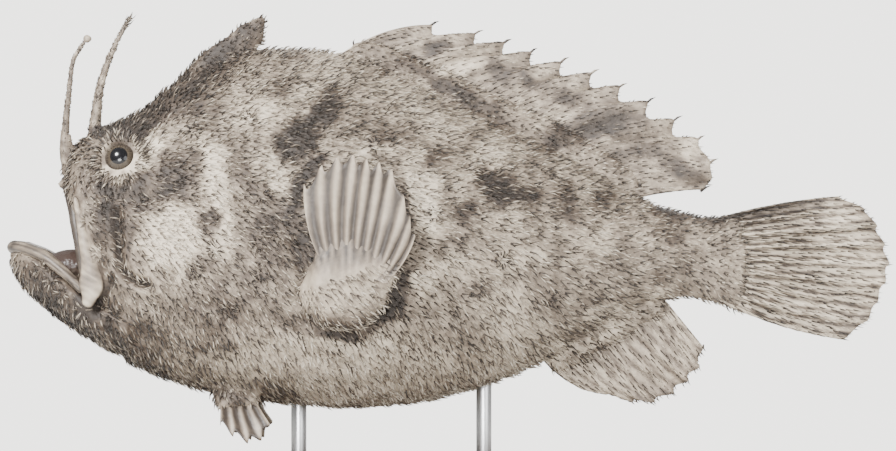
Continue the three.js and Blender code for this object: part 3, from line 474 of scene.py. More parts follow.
# seen from the side: place, half length and height, turn in degrees, and how dark, or pale below 0; some dark
# ones are painted shadows round the hand and fin, some pale ones painted light on the belly
blotchesAndShade = [
    (-52, 65.5, 7, 1.9, 20, 0.7), (-44, 73, 10, 2.6, 42, 0.65), (-36, 79, 6, 2.8, 38, 0.5),
    (-41, 70.5, 8, 4.4, 38, 0.3), (-43, 70, 2, 4, 0, 0.3), (-28, 71.5, 3, 1.6, 0, 0.3),
    (-62, 57.5, 3.4, 6, 0, 0.35), (-64, 45, 3, 6, 10, 0.1), (-26.3, 62.6, 3.6, 3.4, 20, 1.1),
    (-21.4, 67.2, 5.2, 2.1, 60, 1), (-27, 77.8, 4, 1, -8, 0.3), (-2.5, 78.4, 2.6, 1.2, 0, 0.65),
    (-8, 75, 5.5, 1.6, 12, 0.35), (-0.6, 72, 6.5, 1.5, -30, 0.9), (6.7, 67.3, 3, 1.4, -30, 0.5),
    (8, 74.6, 3.4, 1.6, -35, 0.7), (20, 70, 3, 1.6, -20, 0.8), (26.5, 65.6, 5, 2.6, 10, 1),
    (19.5, 63.2, 5, 2.2, 16, 0.8), (40, 57.3, 5, 2, -30, 0.6), (33, 60.8, 6, 1.2, 8, 0.5),
    (8, 54.4, 4.4, 2.7, -15, 1.1), (13.5, 52.8, 3.2, 1.6, -10, 0.8), (6, 57, 1.6, 1.6, 0, 0.5),
    (20, 52, 1.6, 4, 0, 0.5), (26, 52.5, 2.6, 1.7, 0, 0.5), (-9, 64, 4.2, 2.4, 0, 0.35),
    (-1, 61, 6.5, 1.3, 32, 0.4), (10, 65, 3.4, 1.4, 0, 0.35), (4.4, 37, 2.6, 1.7, 0, 0.3),
    (18, 35.5, 2.2, 1.6, 0, 0.25), (12, 42.6, 5, 1.8, -15, -0.4), (-46, 59.5, 3.6, 2.8, 0, 0.5),
    (-51, 55.6, 9, 2.7, 2, 0.75), (-58.2, 49, 2.2, 6, 0, 0.75), (-40, 48.7, 2, 3.2, 0, 0.7),
    (-34.2, 56.6, 1.6, 3.4, 25, 0.2), (-31, 47, 1.8, 5, 0, 0.5), (-28, 48.5, 3, 2, 0, 0.4),
    (-42.5, 40.6, 3, 1.4, 20, 0.6), (-67, 36.5, 8.5, 4.4, -45, 0.75), (-54, 29, 8, 4.5, -28, 0.35),
    (-40, 34, 9, 4, -6, 0.3), (-29.5, 40, 2.6, 7, 0, 0.35), (41, 50.4, 8, 2.2, -3, 0.85),
    (38, 40.6, 5, 3.4, 0, 0.2), (55, 51.2, 9, 2.2, 8, 0.9), (37.4, 46.6, 3.6, 2.2, 0, 0.7),
    # painted shadow: (-25.5, 53.5) here and (-22.8, 57.8) below are the pectoral fin's shadow on the body,
    # (-9.2, 36) and (-17.5, 30) the hand's shadow beside and under it
    (0, 44.5, 6, 1.1, 42, 0.35), (32.4, 51.2, 3, 1.2, -20, -0.4), (-25.5, 53.5, 4.4, 1.4, 72, 1.3),
    (-22.8, 57.8, 3.6, 1.2, 35, 1.2), (-9.2, 36, 2.2, 5.5, -28, 1.1), (-17.5, 30, 6, 1.3, 4, 1),
    (-7.4, 51, 1.1, 4, 12, 0.9), (-26.4, 45, 1.6, 4, 0, -0.1), (-23, 45, 1.2, 5, 10, 0.8),
    (26, 45.1, 3, 2, 0, -0.4), (-46.7, 46, 4.9, 4.9, 22, -1), (-45.6, 49.6, 3.4, 2, 0, -0.4),
    (-53.2, 58.4, 3.6, 1.3, 0, -0.8), (-50.5, 61.8, 3.2, 1.6, 0, -0.8), (-39.7, 57, 2.2, 7.6, 14, -0.8),
    (-38, 46, 2.4, 4, 0, -0.6), (-60.5, 41.6, 1.6, 3, 0, -0.4), (-29, 55.6, 1.8, 3.2, 0, -0.8),
    (-33, 67, 4, 2, 20, -0.35), (-4.6, 55.4, 3, 5.4, 24, -1), (-3.4, 50, 2.4, 3, 0, -0.8),
    (-14, 60.8, 7, 1.2, 6, -0.4), (0.5, 65.8, 5, 2.2, 0, -0.4), (2, 75.2, 5.5, 1.3, 20, -0.5),
    (-14, 72, 6, 2.6, 0, -0.25), (8, 48, 6, 3, 0, -0.35), (34, 45.6, 3.4, 2.2, 0, -0.3),
    (8, 60.6, 5, 1.8, 0, -0.3), (68, 40, 8, 9, 0, -0.35), (-62.6, 38.6, 3, 1.2, -50, -0.5),
    # (-18, 25) pales the belly: partly its own paler tone, partly painted light lifting the shade beneath the
    # body
    (2, 41, 5, 2.2, 0, -0.25), (-18, 25, 26, 6, -2, -0.5), (37, 33, 3, 2, 0, -0.4),
    (10, 31, 8, 6, -30, -0.25), (3.2, 50, 2.6, 1.8, 30, 0.9), (-56.4, 57, 3.4, 1.6, 0, -0.7),
    (-54.4, 46.4, 1.4, 4.5, 0, 0.5), (-58.5, 64.6, 4, 1.4, 15, 0.8), (-3.6, 39.6, 2, 3.6, -30, -0.7),
    # painted shadow: (-11.2, 33) is the shade under the hand
    (-11.2, 33, 3, 2.2, 30, 1.2), (-27, 31.2, 3.2, 2.4, 0, 0.5), (-37, 19.4, 4, 2, 0, 0.8),
    (-33, 38.3, 2.6, 2.6, 0, 0.4), (-52, 51.4, 3, 1.4, 0, 0.5), (-1.6, 78.3, 3, 1, -10, 0.5),
    (35.8, 36.4, 3, 1.4, 25, -0.6), (13, 73.2, 3, 1.2, -20, 0.5), (0.3, 62.8, 3, 1.6, 20, -0.6),
    # painted light: (-12, 18.4) here and (6, 21) below lighten the belly's lower edge against the shade under
    # it
    (-71.5, 37.4, 1.6, 1.6, 0, -0.5), (61, 34.2, 6, 1.6, -14, -0.4), (-12, 18.4, 18, 2, 0, -0.8),
    (6, 21, 10, 2.2, 20, -0.6), (-54.6, 56.4, 2, 1.4, 0, -0.6), (27, 29.4, 5, 1.4, 20, -0.5),
    (25.6, 33.4, 3, 2, 0, -0.4), (-39.4, 28.2, 4, 1.8, 0, 0.4), (15.1, 72.6, 3, 1.2, -30, 0.4),
    (-25.8, 45.2, 2.2, 4.8, 0, 0.55), (-25.6, 60.6, 2.6, 2.2, 30, 0.6), (-45.4, 53.7, 2.6, 1.6, 0, 0.55),
    (28.2, 64.2, 3, 1.6, -10, 0.45), (42.4, 61.4, 2, 1.6, 0, -0.5), (-38.2, 39.2, 1.8, 1.8, 0, 0.45),
    (-31.6, 59.4, 2.2, 2.2, 0, -0.55), (-50.8, 64.4, 2.4, 1.2, 20, 0.5), (17, 26.6, 4, 1.4, 20, -0.45),
    (-24.9, 70.5, 2.2, 1.4, 0, -0.4), (-62.6, 35.8, 1.8, 1.6, 0, 0.4),
]


def foldShade(points):
    seen, total = points[:, [0, 2]], 0
    for path, depth, half in folds.values():
        total = total + 0.6 * depth * np.exp(-((besideLine(seen, path) / (0.8 * half)) ** 2))
    # painted shadow: the skin darkens close round the lower part of the plate
    plate = besideLine(seen, [(-61.2, 44.5), (-60.4, 40), (-60.3, 37.5), (-61, 33.6)])
    total = total + 0.3 * (1 - ease(plate, 1.8, 2.6)) * ease(-points[:, 2], -44, -40)
    return total * onFlank(points)


def markAndShadeAt(points):  # 0 where the hide is palest, 1 where it is darkest, with the painted shadows and painted light of the blotch list included
    x = points[:, 0] + 0.7 * ripple(points, 5, 11) + 0.35 * ripple(points, 1.7, 12)
    z = points[:, 2] + 0.7 * ripple(points, 5, 13) + 0.35 * ripple(points, 1.7, 14)
    total = 0.46 + 0.1 * ripple(points, 14, 15) + 0.09 * ripple(points, 3.2, 16)
    for atX, atZ, long, high, turn, depth in blotchesAndShade:
        c, s = math.cos(math.radians(turn)), math.sin(math.radians(turn))
        along, over = (x - atX) * c + (z - atZ) * s, (z - atZ) * c - (x - atX) * s
        total = total + 0.55 * depth * (1 - ease(np.hypot(along / long, over / high), 0.45, 1.35))
    return np.clip(total, 0, 1)


def paint(piece, markAndShade, bare=0, deep=0):  # the hide's pattern with its painted shade and painted light, kept on its points
    rows = np.ones((len(piece.data.vertices), 4))
    rows[:, 0], rows[:, 1], rows[:, 2] = markAndShade, bare, deep
    piece.data.color_attributes.new("hide", "FLOAT_COLOR", "POINT").data.foreach_set("color", rows.ravel())


def palmSide(points):  # the bare inner face of the hands
    flank = ease(np.abs(points[:, 1]), 21.5, 24.5)
    upper = ease(points[:, 2] - 0.35 * (points[:, 0] + 16), 38.2, 42.4)
    return flank * upper * ease(-points[:, 0], 6, 8) * ease(points[:, 0], -26, -24)


points = pointsOf(bodyCore)
x, z = points[:, 0], points[:, 2]
onTongue = np.linalg.norm((points - mouth["tongue"]) / np.array(mouth["tongueRadii"]), axis=1) < 1.12
onHand = ease(np.abs(points[:, 1]) - np.abs(skinAt(x, z)[:, 1]), 1, 2.4) * (z > 27) * (x > -28) * (x < -3)
rootLeft = -20.6 - 0.28 * (z - 42.2)  # painted shade: the dark grooves between the rays run on down the bare palm
rootRight = -9.2 + 0.62 * (z - 40.6)
palmGrooveShade = 1 - finRidge(pectoralFin, 9 * (x - rootLeft) / (rootRight - rootLeft))
# painted shadow darkens the hand below; on the bare palm, painted shade deepens up towards the fin's root
handMarkAndShade = 0.36 + 0.1 * ripple(points, 3.4, 17) + 0.4 * ease(-z, -34, -31)
handMarkAndShade = mix(handMarkAndShade, 0.4 + (0.22 + 0.5 * palmGrooveShade) * ease(z, 38.5, 44), palmSide(points))
paint(bodyCore, mix(np.clip(markAndShadeAt(points) + foldShade(points), 0, 1), handMarkAndShade, onHand), palmSide(points),
      np.maximum(1 - outerSide(points), onTongue * 0.8))

print("stage: lips, plates, spines and fins")


def bothWays(half):
    return np.concatenate([half, onSide(1, half[:-1])[::-1]])


def lip(name, path, broad, flat, thin):
    def radii(t):
        ends = 0.45 + 0.55 * np.sin(math.pi * t) ** 0.35
        return broad * ends, flat * ends
    return limb(name, path, radii, thin=thin, steps=84, rounding=0.01)


lowerLipPath = bothWays([(-61.6, -12.5, 36.8), (-64.5, -12, 39.8), (-68, -10.1, 42.6), (-71.5, -6.9, 44.1),
                         (-73.4, -3.4, 44.4), (-73.8, 0, 44.4)])
upperLipPath = bothWays([(-61.3, -12.7, 37.6), (-62.3, -11.9, 44), (-63.3, -10.1, 50), (-64.4, -6, 54.2),
                         (-65, 0, 55.6)])
lowerLip = lip("lower_lip", lowerLipPath, 1.35, 1.1, (0, 0, 1))
upperLip = lip("upper_lip", upperLipPath, 1.05, 1, (1, 0, 0))
platePath = []  # down the cheek and over the end of the lower lip
for x, z, least in ((-63.1, 53, 0), (-62, 47.6, 0), (-60.8, 42, 12.6), (-60.3, 38, 13.1), (-61, 34.2, 12.9)):
    met = bodyCore.ray_cast(Vector((x * mm, -0.05, z * mm)), Vector((0, 1, 0)))[1]
    platePath.append((x, min(met.y / mm - 0.3, -least), z))
plateHalf = through([0, 0.5], [0.3, 0.9], [0.55, 1.6], [0.75, 2.1], [0.9, 1.3], [1, 0.8])
plates = [limb("plate", onSide(side, platePath), lambda t: (plateHalf(t), 0.6 + 0.35 * t),
               steps=50, rounding=0.05) for side in (-1, 1)]
for piece in (lowerLip, upperLip, *plates):
    points = pointsOf(piece)
    movePoints(piece, points + normalsOf(piece) * (0.05 * ripple(points, 2.4, 4))[:, None])
    x, z = points[:, 0], points[:, 2]
    streaks = 0.1 * np.sin(z * 5 + x * 3.2 + 2 * ripple(points, 5, 23))
    if piece in plates:
        # painted shade: the plate darkens towards its rims, where its face turns away from the side
        edge = 1 - ease(np.abs(normalsOf(piece)[:, 1]), 0.3, 0.8)
        tone = mix(0.34, 0.62, ease(z, 35.5, 39.5)) - 0.14 * ease(z, 41, 45) + 0.6 * edge + streaks
    elif piece is lowerLip:  # fine lines run along it
        tone = 0.82 + 0.22 * np.sin(13 * normalsOf(piece)[:, 2] + 2 * ripple(points, 9, 24))
    else:
        # painted shadow: the upper lip is painted near black as the dark shadow line along the front of the
        # face
        tone = 1.1 + streaks
    paint(piece, np.clip(tone + 0.14 * ripple(points, 2.6, 21), 0, 1), 1)

lure = {
    "path": [(-64.6, 0, 57.6), (-65.4, 0, 61.6), (-65.1, 0, 66.4), (-64.6, 0, 71), (-63.9, 0, 76.1),
             (-61.9, 0, 79.6)],
    "radius": through([0, 1.25], [0.2, 0.8], [0.5, 0.5], [1, 0.27]),
}
secondSpine = {
    "path": [(-60.2, 0, 60.2), (-60.2, 0, 64), (-59.7, 0, 69.5), (-58.8, 0, 73.6), (-57, 0, 78.3),
             (-54.4, 0, 83.4)],
    "radius": through([0, 1.9], [0.2, 1.15], [0.45, 0.72], [0.75, 0.5], [1, 0.26]),
}


def freeSpine(name, spine, steps, sides):
    return limb(name, spine["path"], lambda t: (spine["radius"](t), spine["radius"](t)),
                steps=steps, sides=sides)


freeForms = [freeSpine("lure", lure, 60, 12), ball("bead", (-61.5, 0, 79.9), (0.68, 0.6, 0.64), 20, 14),
             freeSpine("second_spine", secondSpine, 70, 14)]
for piece, tone in zip(freeForms, (0.62, 0.35, 0.6)):
    points = pointsOf(piece)
    movePoints(piece, points + normalsOf(piece) * (0.08 * ripple(points, 1.6, 5))[:, None])
    paint(piece, np.clip(tone + 0.2 * ripple(points, 2.2, 22), 0, 1), 0.5)


def finPiece(fin, perRay, rows, side=-1):  # two sheets, closed along their edges
    columns = (fin["rays"] - 1) * perRay
    place, t = np.meshgrid(np.arange(columns + 1) / perRay, np.linspace(0, 1, rows + 1))
    middle, push = finMiddle(fin, place, t), fin["across"](place) * finHalf(fin, place, t)[..., None]
    points = np.concatenate([(middle + push).reshape(-1, 3), (middle - push).reshape(-1, 3)])
    left = np.arange(place.size).reshape(place.shape)
    right = left + place.size
    pairs = [pair for sheet in (left, right) for pair in zip(sheet, sheet[1:])]
    pairs += [(left[k], right[k]) for k in (0, -1)] + [(left[:, k], right[:, k]) for k in (0, -1)]
    faces = [(a, b, d, c) for one, two in pairs
             for a, b, c, d in zip(one.tolist(), one[1:].tolist(), two.tolist(), two[1:].tolist())]
    mesh = bpy.data.meshes.new(fin["name"] + "_fin_skin")
    mesh.from_pydata(onSide(side, points) * mm, [], faces)
    piece = bpy.data.objects.new(mesh.name, mesh)
    bpy.context.collection.objects.link(piece)
    faceOutwards(piece)
    place, t = np.tile(place.ravel(), 2), np.tile(t.ravel(), 2)
    if "lines" in fin:
        # painted shade: a broken dark line beside each ray, as the ray's edge shadows the web
        wavy = place + 0.05 * np.sin(t * 17 + place * 2.1)
        line = np.exp(-((np.abs(wavy - np.rint(wavy)) - 0.25) / 0.1) ** 2)
        broken = 0.72 + 0.28 * np.sin(t * 33 + 9 * np.sin(place * 2.7))
        line = line * broken * ease(t, 0.02, 0.15) - 0.3
        markAndShade, bare = markAndShadeAt(points) + fin["lines"] * line + 0.12 * ease(t, 0.85, 1), 0.25
    else:
        # painted shade: dark grooves between the rays from near the root, and darker notches between the ray
        # tips
        groove = 1 - finRidge(fin, place)
        markAndShade = 0.5 - 0.15 * ease(t, 0.35, 0.8) + 0.7 * groove * ease(t, 0.02, 0.3)
        markAndShade, bare = markAndShade + 0.5 * ease(t, 0.86, 1) * groove, 0.9
    paint(piece, np.clip(markAndShade, 0, 1), bare)
    return piece


finPieces = [finPiece(dorsalFin, 8, 30), finPiece(analFin, 10, 24), finPiece(caudalFin, 12, 30)]
for side in (-1, 1):
    finPieces += [finPiece(pectoralFin, 10, 21, side), finPiece(pelvicFin, 8, 14, side)]

bodyCore.data.calc_loop_triangles()
coreCorners = np.empty(len(bodyCore.data.loop_triangles) * 3, np.int32)
bodyCore.data.loop_triangles.foreach_get("vertices", coreCorners)
coreShape = pointsOf(bodyCore), normalsOf(bodyCore), coreCorners.reshape(-1, 3)
fish = joined("frogfish_skin", bodyCore, lowerLip, upperLip, *plates, *freeForms, *finPieces)
pick(fish)
bpy.ops.object.shade_smooth()
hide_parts("head", "lower_jaw", "upper_jaw", "maxilla_left", "maxilla_right", "illicium",
            "second_dorsal_spine", "third_dorsal_spine", "torso", "tail", "dorsal_fin", "anal_fin",
            "caudal_fin", "pectoral_arm_left", "pectoral_arm_right", "pectoral_fin_left",
            "pectoral_fin_right", "pelvic_fin_left", "pelvic_fin_right")
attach(fish, "root")
print("skin points", len(fish.data.vertices))

print("stage: eyes")
eyes = []
for side in (-1, 1):
    globe = added("eyeball_" + ("left" if side < 0 else "right"), bpy.ops.mesh.primitive_uv_sphere_add,
                  segments=64, ring_count=48, radius=eye["radius"] * mm)
    points = pointsOf(globe)  # the pole looks out; the cornea stands a little proud
    front = ease(points[:, 2] / eye["radius"], 0.72, 0.98)
    movePoints(globe, points * (1 + 0.05 * front)[:, None])
    globe.rotation_mode = "QUATERNION"
    globe.rotation_quaternion = Vector(onSide(side, eye["look"])).to_track_quat("Z", "Y")
    globe.location = Vector(onSide(side, eye["centre"]) * mm)
    placed(globe)
    bpy.ops.object.shade_smooth()
    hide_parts("eye_left" if side < 0 else "eye_right")
    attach(globe, "root")
    eyes.append(globe)

print("stage: coat")
coat = {
    "spacing": 0.7, "perArea": 9, "length": 1.85, "radius": 0.145, "sunk": 0.25, "rise": 0.25, "bend": 0.1,
    "fork": 0.55, "starLength": 1.15, "starRadius": 0.15, "starRays": 20, "lashes": 132, "patch": 0.0015,
}


def heightAt(points):  # 0 at the edge of the belly, 1 at the back
    low, high = trunk["lower"](points[:, 0]), trunk["upper"](points[:, 0])
    return (points[:, 2] - low) / (high - low)


def fromOwnEye(points):
    return points - eye["centre"] * vec(1, -np.sign(points[:, 1]), 1)


def lieAt(points):  # which way the coat lies, as a direction on either side
    x, z = points[:, 0], points[:, 2]
    steepest = np.radians(mix(68, 16, ease(x, 6, 34)))
    droop = steepest * (1 - ease(heightAt(points), -0.1, 0.9)) + 0.12 * ripple(points, 12, 31)
    back = vec(np.cos(droop), 0, -np.sin(droop)) + vec(0, 0, (z - 43.5) * 0.045 * ease(x, 34, 46))
    away = fromOwnEye(points) * [1, 0.3, 1]
    ring = (1 - ease(np.linalg.norm(away, axis=1), 4.5, 8))[:, None]
    snout = (ease(-x, 58, 63) * ease(z, 50, 54))[:, None]
    return unit(mix(mix(back, unit(away), ring), np.array([-0.53, 0, -0.85]), 0.6 * snout))


def bristles(name, roots, normals, lies, length, radius, markAndShade, tint, unwrap, rise=1):
    # three-sided tapering bristles that leave the skin and bend over along the lie
    count = len(roots)
    long, radius, rise = [np.broadcast_to(part, count)[:, None] for part in (length, radius, rise)]
    flat = unit(lies - normals * np.sum(lies * normals, axis=1, keepdims=True))
    side = np.cross(normals, flat)
    foot = roots - normals * coat["sunk"]
    bend = roots + (flat * 0.5 + normals * coat["rise"] * rise) * long
    over = np.cross(side, unit(bend - foot))
    points = np.empty((count, 7, 3))
    for k in range(3):
        turn = math.radians(90 + 120 * k)
        out = (side * math.cos(turn) + over * math.sin(turn)) * radius
        points[:, k], points[:, k + 3] = foot + out, bend + out * 0.82
    points[:, 6] = roots + (flat * 0.93 + normals * (coat["rise"] + coat["bend"]) * rise) * long
    pattern = np.array([0, 1, 4, 3, 1, 2, 5, 4, 2, 0, 3, 5, 3, 4, 6, 4, 5, 6, 5, 3, 6, 2, 1, 0])
    corners = (np.arange(count)[:, None] * 7 + pattern).ravel()
    sizes = np.tile([4, 4, 4, 3, 3, 3, 3], count)
    mesh = bpy.data.meshes.new(name)
    mesh.vertices.add(count * 7)
    mesh.loops.add(len(corners))
    mesh.polygons.add(len(sizes))
    mesh.vertices.foreach_set("co", (points * mm).ravel())
    mesh.loops.foreach_set("vertex_index", corners.astype(np.int32))
    mesh.polygons.foreach_set("loop_start", (np.cumsum(sizes) - sizes).astype(np.int32))
    mesh.update(calc_edges=True)
    mesh.polygons.foreach_set("use_smooth", np.ones(len(sizes), bool))
    rows = np.ones((count, 7, 4))
    rows[:, :, 0], rows[:, :, 1] = np.reshape(markAndShade, (-1, 1)), tint[:, None]
    rows[:, :, 2] = [0, 0, 0, 0.5, 0.5, 0.5, 1]
    mesh.color_attributes.new("hide", "FLOAT_COLOR", "POINT").data.foreach_set("color", rows.ravel())
    patch = np.array([[-1, -1], [1, -1], [0, -1], [-1, 0], [1, 0], [0, 0], [0, 1]]) * coat["patch"]
    uvs = (np.clip(unwrap, 0.002, 0.998)[:, None] + patch).reshape(-1, 2)[corners]
    mesh.uv_layers.new(name="OFBake").data.foreach_set("uv", uvs.ravel())
    piece = bpy.data.objects.new(name, mesh)
    bpy.context.collection.objects.link(piece)
    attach(piece, "root")
    print("coat piece", name, count, "bristles")
    return piece


def pooled(groups):
    return {key: np.concatenate([group[key] for group in groups]) for key in groups[0]}


def scattered(points, spacing):  # places thinned out to an even distance
    taken, kept = {}, []
    around = [(i, j, k) for i in (-1, 0, 1) for j in (-1, 0, 1) for k in (-1, 0, 1)]
    cells = np.floor(points / spacing).astype(int).tolist()
    for n, (spot, (a, b, c)) in enumerate(zip(points.tolist(), cells)):
        near = (other for i, j, k in around for other in taken.get((a + i, b + j, c + k), ()))
        if all(math.dist(spot, other) >= spacing for other in near):
            taken.setdefault((a, b, c), []).append(spot)
            kept.append(n)
    return np.array(kept)


def onSurface(points, normals, corners, perArea):  # chance places on triangles, with normals
    a, b, c = points[corners[:, 0]], points[corners[:, 1]], points[corners[:, 2]]
    area = np.linalg.norm(np.cross(b - a, c - a), axis=1) / 2
    which = dice.choice(len(corners), int(area.sum() * perArea), p=area / area.sum())
    u, v = dice.random(len(which)), dice.random(len(which))
    past = u + v > 1
    u, v = np.where(past, 1 - u, u)[:, None], np.where(past, 1 - v, v)[:, None]
    spots = a[which] * (1 - u - v) + b[which] * u + c[which] * v
    way = normals[corners[which]]
    return spots, unit(way[:, 0] * (1 - u - v) + way[:, 1] * u + way[:, 2] * v)


def aroundBody(points):  # the body unrolled: along it and round it
    turn = np.arctan2(-points[:, 1], points[:, 2] - trunk["waist"](points[:, 0]))
    return vec((points[:, 0] + 76) / 136, 0.5 + turn / (2 * math.pi))


def aroundHand(points):  # hands and feet unrolled round their stalks, the left ones in one half
    foot = points[:, 0] < -29
    turn = np.where(foot, np.arctan2(points[:, 1] - 7 * np.sign(points[:, 1]), points[:, 0] + 35.6),
                    np.arctan2(points[:, 2] - 37, points[:, 0] + 16))
    out = np.where(foot, 0.86 + 0.12 * ease(21 - points[:, 2], 0, 7),
                   0.84 * ease(np.abs(points[:, 1]), 12, 31))
    return vec(np.where(points[:, 1] < 0, 0, 0.5) + 0.25 + turn / (4 * math.pi) * 0.98, out)


spots, normals = onSurface(*coreShape, coat["perArea"])
kept = outerSide(spots) > 0.97
kept &= palmSide(spots) < 0.35 + 0.3 * dice.random(len(spots))
kept &= np.linalg.norm(fromOwnEye(spots), axis=1) > 4
kept &= besideLine(spots, lowerLipPath) > 1.5
kept &= besideLine(spots, upperLipPath) > 1.75
for side in (-1, 1):
    kept &= besideLine(spots, onSide(side, platePath)) > mix(1.3, 2.5, ease(-spots[:, 2], -44, -38))
spots, normals = spots[kept], normals[kept]
chosen = scattered(spots, coat["spacing"])
spots, normals = spots[chosen], normals[chosen]
x, z = spots[:, 0], spots[:, 2]
isHand = (np.abs(spots[:, 1]) - np.abs(skinAt(x, z)[:, 1]) > 1.2) & (x > -27) & (x < -4)
isHand &= (z > 27) & (z < 47)
isFoot = (x > -41.5) & (x < -30.5) & (z < 18.4)
onSpine = ease(z - trunk["upper"](x), 0.4, 1.6) * (x < -28)
onStalk = onSpine * (x < -57)
lies = lieAt(spots)
lies = unit(mix(lies, vec(mix(0.8, 0.1, onStalk), 0, mix(0.62, 1, onStalk)), onSpine[:, None]))
lies = np.where(isHand[:, None], unit(np.array([0.75, 0, -0.55])), lies)
lies = np.where(isFoot[:, None], unit(np.array([0.3, 0, -1])), lies)
crest = ease(heightAt(spots), 0.9, 1)
length = coat["length"] * (1 - 0.15 * (1 - ease(eyeReach(spots), 4, 9)) - 0.2 * (1 - ease(x, -66, -56)))
length = length * (1 - 0.25 * crest - 0.2 * onSpine - 0.25 * onStalk - 0.25 * ease(x, 26, 40))
length = length * np.where(isHand, 0.9, 1) * np.where(isFoot, 0.6, 1)
markAndShade = np.where(isHand, 0.24 + 0.1 * ripple(spots, 3, 18), markAndShadeAt(spots))


def grow(name, chosen, unwrap):  # each root bears one bristle, or two that part like a fork
    count = len(chosen)
    twin = dice.random(count) < coat["fork"]
    which = np.concatenate([chosen, chosen[twin]])
    lean = np.concatenate([dice.normal(0, 0.2, count), dice.normal(0, 0.1, twin.sum())])
    lean[:count][twin] += 0.3
    lean[count:] -= 0.3
    way = lies[which] + np.cross(normals[which], lies[which]) * lean[:, None]
    long = length[which] * dice.uniform(0.72, 1.2, len(which))
    rise = dice.uniform(0.7, 1.35, len(which)) * (1 + 0.15 * crest[which])
    radius = coat["radius"] * dice.uniform(0.8, 1.25, len(which))
    return bristles(name, spots[which], normals[which], way, long, radius, markAndShade[which],
                    dice.random(len(which)), unwrap(spots[which]), rise)


everywhere = np.arange(len(spots))
hairy = []
for name, low, high in (("coat_head", -80, -38), ("coat_side", -38, -8), ("coat_tail", -8, 60)):
    for ending, side in (("_left", -1), ("_right", 1)):
        here = ~(isHand | isFoot) & ((spots[:, 1] < 0) == (side < 0)) & (x >= low) & (x < high)
        hairy.append(grow(name + ending, everywhere[here], aroundBody))
hairy.append(grow("coat_hands", everywhere[isHand | isFoot], aroundHand))

# bristles of the fins, in rows along their rays: how far apart, how long, and how many stand on a ray
finTufts = []
tries = 30000
for fin, spacing, long, onRays in ((dorsalFin, 0.72, 1.9, 0.4), (analFin, 0.72, 2.1, 0.6),
                                   (caudalFin, 0.66, 2.5, 0.8), (pectoralFin, 0.8, 1.7, 0.6)):
    isPair = fin is pectoralFin  # its palms stay bare
    rays = fin["rays"] - 1
    onRay = dice.integers(0, rays + 1, tries) + dice.normal(0, 0.12, tries)
    onRay = onRay + np.where(dice.random(tries) < 0.5, 0.2, -0.2)
    place = np.where(dice.random(tries) < onRays, onRay, dice.uniform(0, rays, tries))
    place = np.clip(place, 0.03, rays - 0.03)
    t = dice.uniform(0.03, 0.97, tries)
    face = np.ones(tries) if isPair else np.where(dice.random(tries) < 0.5, 1.0, -1.0)
    middle, out = finMiddle(fin, place, t), fin["across"](place) * face[:, None]
    root = middle + out * finHalf(fin, place, t)[:, None]
    chosen = scattered(root, spacing)
    place, t, face, middle, out, root = [part[chosen] for part in (place, t, face, middle, out, root)]
    lie = unit(finMiddle(fin, place, np.minimum(t + 0.03, 1)) - middle) + [0, 0, -0.1]
    for side in (-1, 1) if isPair else (-1,):
        second = side > 0 if isPair else face > 0
        finTufts.append({
            "roots": onSide(side, root), "normals": onSide(side, out), "lies": onSide(side, lie),
            "length": long * mix(1.05, 0.7, t) * dice.uniform(0.7, 1.2, len(chosen)),
            "radius": coat["radius"] * dice.uniform(0.75, 1.1, len(chosen)),
            "markAndShade": np.clip(markAndShadeAt(root) + 0.12, 0, 1),
            "unwrap": vec(0.02 + 0.46 * place / rays + 0.5 * second, (fin["row"] + 0.04 + 0.92 * t) / 4),
        })

# the free ends of the rays
for fin, offsets, long, radius, way in (
    (dorsalFin, (0,), 1.9, 0.3, (1, 0, 0.1)), (dorsalFin, (-0.35, 0.3, 0.55), 0.8, 0.13, None),
    (caudalFin, (-0.36, -0.12, 0.12, 0.36), 1.3, 0.16, None), (caudalFin, (-0.25, 0.25), 0.9, 0.12, None),
    (analFin, (-0.3, 0, 0.3), 1.2, 0.17, None), (analFin, (-0.15, 0.15), 0.8, 0.12, None),
):
    rays = fin["rays"] - 1
    place = (np.arange(rays + 1)[:, None] + np.array(offsets, float)).ravel()
    place = place[(place >= 0) & (place <= rays)]
    t = np.full(len(place), 0.97)
    middle = finMiddle(fin, place, t)
    lie = unit(finMiddle(fin, place, t + 0.03) - middle)
    if way:
        lie = np.tile(np.array(way, float), (len(place), 1))
    finTufts.append({
        "roots": middle, "normals": np.cross(lie, [0, 1, 0]) * (-1 if fin is analFin else 1), "lies": lie,
        "length": long * dice.uniform(0.75, 1.2, len(place)),
        "radius": radius * dice.uniform(0.85, 1.1, len(place)), "markAndShade": np.full(len(place), 0.75),
        "unwrap": vec(0.02 + 0.46 * place / rays, (fin["row"] + 0.96) / 4),
    })
pool = pooled(finTufts)
finCount = len(pool["roots"])
tint, rise = dice.random(finCount), dice.uniform(0.5, 0.95, finCount)
hairy.append(bristles("coat_fins", **pool, tint=tint, rise=rise))

# bristles of the two free spines, with longer filaments at the second one's tip
spineTufts = []
for row, (spine, start, stop, count, long) in enumerate((
    (secondSpine, 0.15, 1.0, 420, 0.95), (lure, 0.1, 0.98, 300, 0.7), (secondSpine, 0.93, 1.0, 16, 2.4),
)):
    curve = curveThrough(spine["path"])
    t = dice.uniform(start, stop, count)
    forward = wayAlong(curve, t)
    turn = dice.uniform(0, 2 * math.pi, count)
    sideways = unit(np.cross(forward, [0, 1, 0]))
    out = sideways * np.cos(turn)[:, None] + np.array([0, 1, 0]) * np.sin(turn)[:, None]
    spineTufts.append({
        "roots": curve(t) + out * (spine["radius"](t) * 0.8)[:, None], "normals": out, "lies": forward,
        "length": long * dice.uniform(0.6, 1.15, count) * mix(1, 0.75, t),
        "unwrap": vec((row + 0.05 + 0.9 * t) / 3, turn / (2 * math.pi)),
    })
pool = pooled(spineTufts)
